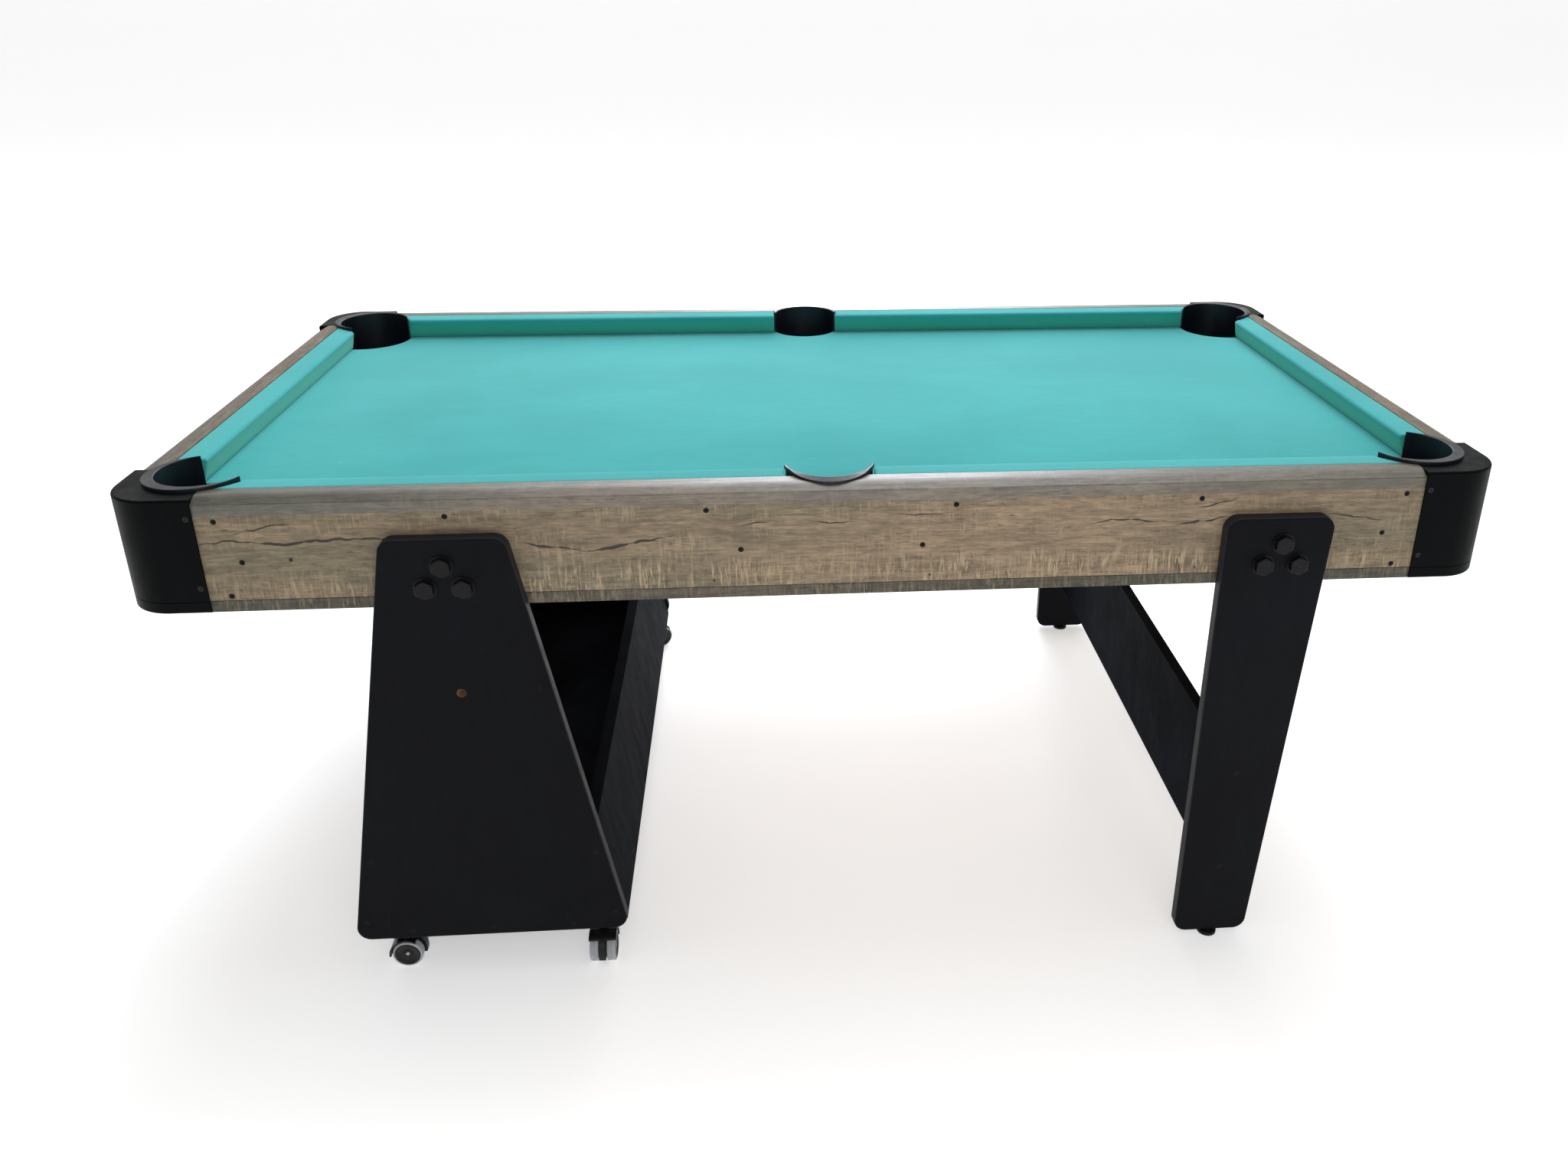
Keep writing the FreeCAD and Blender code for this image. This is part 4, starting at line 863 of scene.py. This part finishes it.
def make_felt():
    """The bed's cloth: flat over the board, and turned down round the board's edge at
    each pocket."""
    outline = bed_outline()
    quarter_round = ((1.0, 0.0), (0.62, 0.08), (0.29, 0.29), (0.08, 0.62), (0.0, 1.0))
    section = [(back * CLOTH_BEND, drop * CLOTH_BEND) for back, drop in quarter_round]
    made = bmesh.new()
    rows = []
    for back, drop in (*section, (0.0, CLOTH_DROP)):
        row = []
        for edge, away in outline:
            point = edge + away * back
            row.append(made.verts.new((point.x, point.y, BED_TOP - CLOTH_SUNK - drop)))
        rows.append(row)
    count = len(outline)
    for first, second in zip(rows, rows[1:]):
        for index in range(count):
            after = (index + 1) % count
            made.faces.new((first[index], first[after], second[after], second[index]))
    made.faces.new(rows[0])
    bmesh.ops.triangulate(made, faces=[face for face in made.faces if len(face.verts) > 4])
    piece = make_object("bed_felt", made, "felt", "root", ["bed_cloth"], 50)


# ------------------------------------------------------------------ casters

def caster_axis(caster):
    """Middle of a caster's axle and the direction along it, from its packed joint."""
    for joint in frame["joints"]:
        if joint["name"] == "roll_" + caster:
            return Vector(joint["pos_m"]), Vector(joint["axis"])
    raise ValueError("no joint rolls " + caster)


def turned_ring(mesh_data, middle, axis, profile, steps=72):
    """Turns a closed section (radius, distance along the axis) into a ring."""
    aside = axis.cross(Vector((0, 0, 1))).normalized()
    loops = []
    for step in range(steps):
        angle = 2 * math.pi * step / steps
        out = aside * math.cos(angle) + Vector((0, 0, 1)) * math.sin(angle)
        loops.append([middle + out * radius + axis * along for radius, along in profile])
    loft(mesh_data, loops, True)


WHEEL_RADIUS = 23 * MM
TREAD_DEPTH = 3.4 * MM
WHEEL_IN, WHEEL_OUT = 6 * MM, 20 * MM
AXLE_RADIUS = 3 * MM


def tread_section():
    """A wheel's tread, as (radius, distance out): rounded edges and a shallow groove."""
    rim, low, high = WHEEL_RADIUS, WHEEL_IN, WHEEL_OUT
    inner = rim - TREAD_DEPTH
    groove = (low + high) / 2
    return [(inner, low + 0.6 * MM), (rim - 1.4 * MM, low), (rim - 0.4 * MM, low + 0.4 * MM),
            (rim, low + 1.4 * MM), (rim, groove - 0.9 * MM),
            (rim - 0.6 * MM, groove - 0.5 * MM), (rim - 0.6 * MM, groove + 0.5 * MM),
            (rim, groove + 0.9 * MM), (rim, high - 2.8 * MM),
            (rim - 0.5 * MM, high - 1.3 * MM), (rim - 1.6 * MM, high - 0.4 * MM),
            (inner, high - 0.2 * MM)]


def hub_section():
    """A wheel's dished hub inside the tread, with a boss round the axle."""
    low, high = WHEEL_IN, WHEEL_OUT
    inner = WHEEL_RADIUS - TREAD_DEPTH
    return [(AXLE_RADIUS, low), (inner, low + 0.6 * MM), (inner, high - 0.2 * MM),
            (inner - 0.8 * MM, high), (inner - 2.6 * MM, high), (inner - 3.4 * MM, high - 0.9 * MM),
            (9.5 * MM, high - 2.6 * MM), (7.5 * MM, high - 2.4 * MM), (6.6 * MM, high - 1.2 * MM),
            (5.0 * MM, high - 1.0 * MM), (AXLE_RADIUS, high - 1.6 * MM)]


def axle_section():
    """The axle from end to end, its edges chamfered; a hair thinner than its hole."""
    tip = WHEEL_OUT - 1.2 * MM
    core, face, side = 0.05 * MM, AXLE_RADIUS - 0.7 * MM, AXLE_RADIUS - 0.02 * MM
    bevel = 0.7 * MM
    return [(core, -tip), (face, -tip), (side, -tip + bevel), (side, tip - bevel), (face, tip), (core, tip)]


def make_wheels(caster):
    """Two wheels on one axle, each a light tread round a dark dished hub."""
    middle, axis = caster_axis(caster)
    tread = bmesh.new()
    hub = bmesh.new()
    axle = bmesh.new()
    for sign in (-1, 1):
        turned_ring(tread, middle, axis, [(radius, sign * along) for radius, along in tread_section()])
        turned_ring(hub, middle, axis, [(radius, sign * along) for radius, along in hub_section()])
    turned_ring(axle, middle, axis, axle_section(), 32)
    body = "wheels_" + caster
    node = "caster_wheels_" + caster
    make_object("wheel_treads_" + caster, tread, "tread", body, [node], 50)
    make_object("wheel_hubs_" + caster, hub, "hood", body)
    make_object("wheel_axle_" + caster, axle, "zinc", body)


# ------------------------------------------------------- floor, light, camera

def make_floor():
    """A pale floor that sweeps up into a wall far behind the table."""
    half, far, bend, top = 14.0, 7.0, 3.0, 9.0
    profile = [(-12.0, 0.0), (far, 0.0)]
    for turn in range(10, 91, 10):
        angle = math.radians(turn)
        profile.append((far + bend * math.sin(angle), bend * (1 - math.cos(angle))))
    profile.append((far + bend, top))
    made = bmesh.new()
    rows = [[made.verts.new((across, back, up)) for across in (-half, half)] for back, up in profile]
    for first, second in zip(rows, rows[1:]):
        made.faces.new((first[0], first[1], second[1], second[0]))
    mesh = bpy.data.meshes.new("studio_floor")
    made.to_mesh(mesh)
    made.free()
    mesh.shade_smooth()
    look = Look("studio_floor", Roughness=0.9, Specular_IOR_Level=0.1, Emission_Strength=0.42)
    look.shader.inputs["Emission Color"].default_value = (1, 1, 1, 1)
    cloud = look.noise(look.place, 0.4, 2.0)
    look.colour(look.mix(cloud, paint(246, 246, 246), paint(250, 250, 250)))
    mesh.materials.append(look.material)
    floor = bpy.data.objects.new("studio_floor", mesh)
    bpy.context.scene.collection.objects.link(floor)


def make_world():
    """Soft light from all round; the camera itself sees plain white behind the table."""
    world = bpy.data.worlds.new("studio")
    bpy.context.scene.world = world
    world.use_nodes = True
    tree = world.node_tree
    light = tree.nodes["Background"]
    light.inputs["Color"].default_value = (1, 1, 1, 1)
    light.inputs["Strength"].default_value = 0.36
    seen = tree.nodes.new("ShaderNodeBackground")
    seen.inputs["Color"].default_value = (1, 1, 1, 1)
    ray = tree.nodes.new("ShaderNodeLightPath")
    either = tree.nodes.new("ShaderNodeMixShader")
    tree.links.new(ray.outputs["Is Camera Ray"], either.inputs[0])
    tree.links.new(light.outputs[0], either.inputs[1])
    tree.links.new(seen.outputs[0], either.inputs[2])
    tree.links.new(either.outputs[0], tree.nodes["World Output"].inputs["Surface"])


def area_light(name, place, aim, size, power, tint=(1, 1, 1)):
    lamp = bpy.data.lights.new(name, "AREA")
    lamp.shape = "RECTANGLE"
    lamp.size, lamp.size_y = size
    lamp.energy = power
    lamp.color = tint
    holder = bpy.data.objects.new(name, lamp)
    holder.location = place
    holder.rotation_euler = (Vector(aim) - Vector(place)).to_track_quat("-Z", "Y").to_euler()
    bpy.context.scene.collection.objects.link(holder)


def make_lights():
    sun = bpy.data.lights.new("soft_sun", "SUN")
    sun.energy = 0.88
    sun.angle = math.radians(40)
    holder = bpy.data.objects.new("soft_sun", sun)
    holder.rotation_euler = (math.radians(-16), math.radians(14), 0)
    bpy.context.scene.collection.objects.link(holder)
    area_light("overhead", (0.15, 1.2, 3.1), (0.0, -0.3, 0.75), (2.2, 2.0), 36, (0.93, 0.95, 1.0))
    area_light("far_window", (0.45, 4.2, 3.0), (0.0, -0.4, 0.75), (1.7, 3.0), 115, (0.86, 0.91, 1.0))
    area_light("front_fill", (0.3, -3.2, 2.0), (0.1, 0, 0.55), (1.8, 1.6), 20)


# The camera: where it stands, which way it looks, its lens and its small shift
CAMERA_PLACE = (-0.0907, -2.0657, 1.3988)
CAMERA_YAW = math.radians(-4.826)
CAMERA_PITCH = math.radians(23.07)
CAMERA_ROLL = math.radians(0.48)
CAMERA_LENS = 28.505
CAMERA_SHIFT = (-0.0496, -0.0439)


def make_camera():
    lens = bpy.data.cameras.new("camera")
    lens.sensor_width = 36
    lens.lens = CAMERA_LENS
    lens.shift_x, lens.shift_y = CAMERA_SHIFT
    level = math.cos(CAMERA_PITCH)
    forward = Vector((-math.sin(CAMERA_YAW) * level, math.cos(CAMERA_YAW) * level, -math.sin(CAMERA_PITCH)))
    flat_right = Vector((math.cos(CAMERA_YAW), math.sin(CAMERA_YAW), 0))
    flat_up = flat_right.cross(forward)
    right = flat_right * math.cos(CAMERA_ROLL) + flat_up * math.sin(CAMERA_ROLL)
    up = flat_up * math.cos(CAMERA_ROLL) - flat_right * math.sin(CAMERA_ROLL)
    camera = bpy.data.objects.new("camera", lens)
    turn = Matrix((right, up, -forward)).transposed().to_4x4()
    camera.matrix_world = Matrix.Translation(CAMERA_PLACE) @ turn
    bpy.context.scene.collection.objects.link(camera)
    bpy.context.scene.camera = camera


make_camera()
make_world()
make_lights()
make_floor()
finish_cad_nodes()
make_felt()
make_cushions()
make_liners()
for caster in CASTERS:
    make_wheels(caster)
bpy.context.scene.view_settings.view_transform = "Standard"
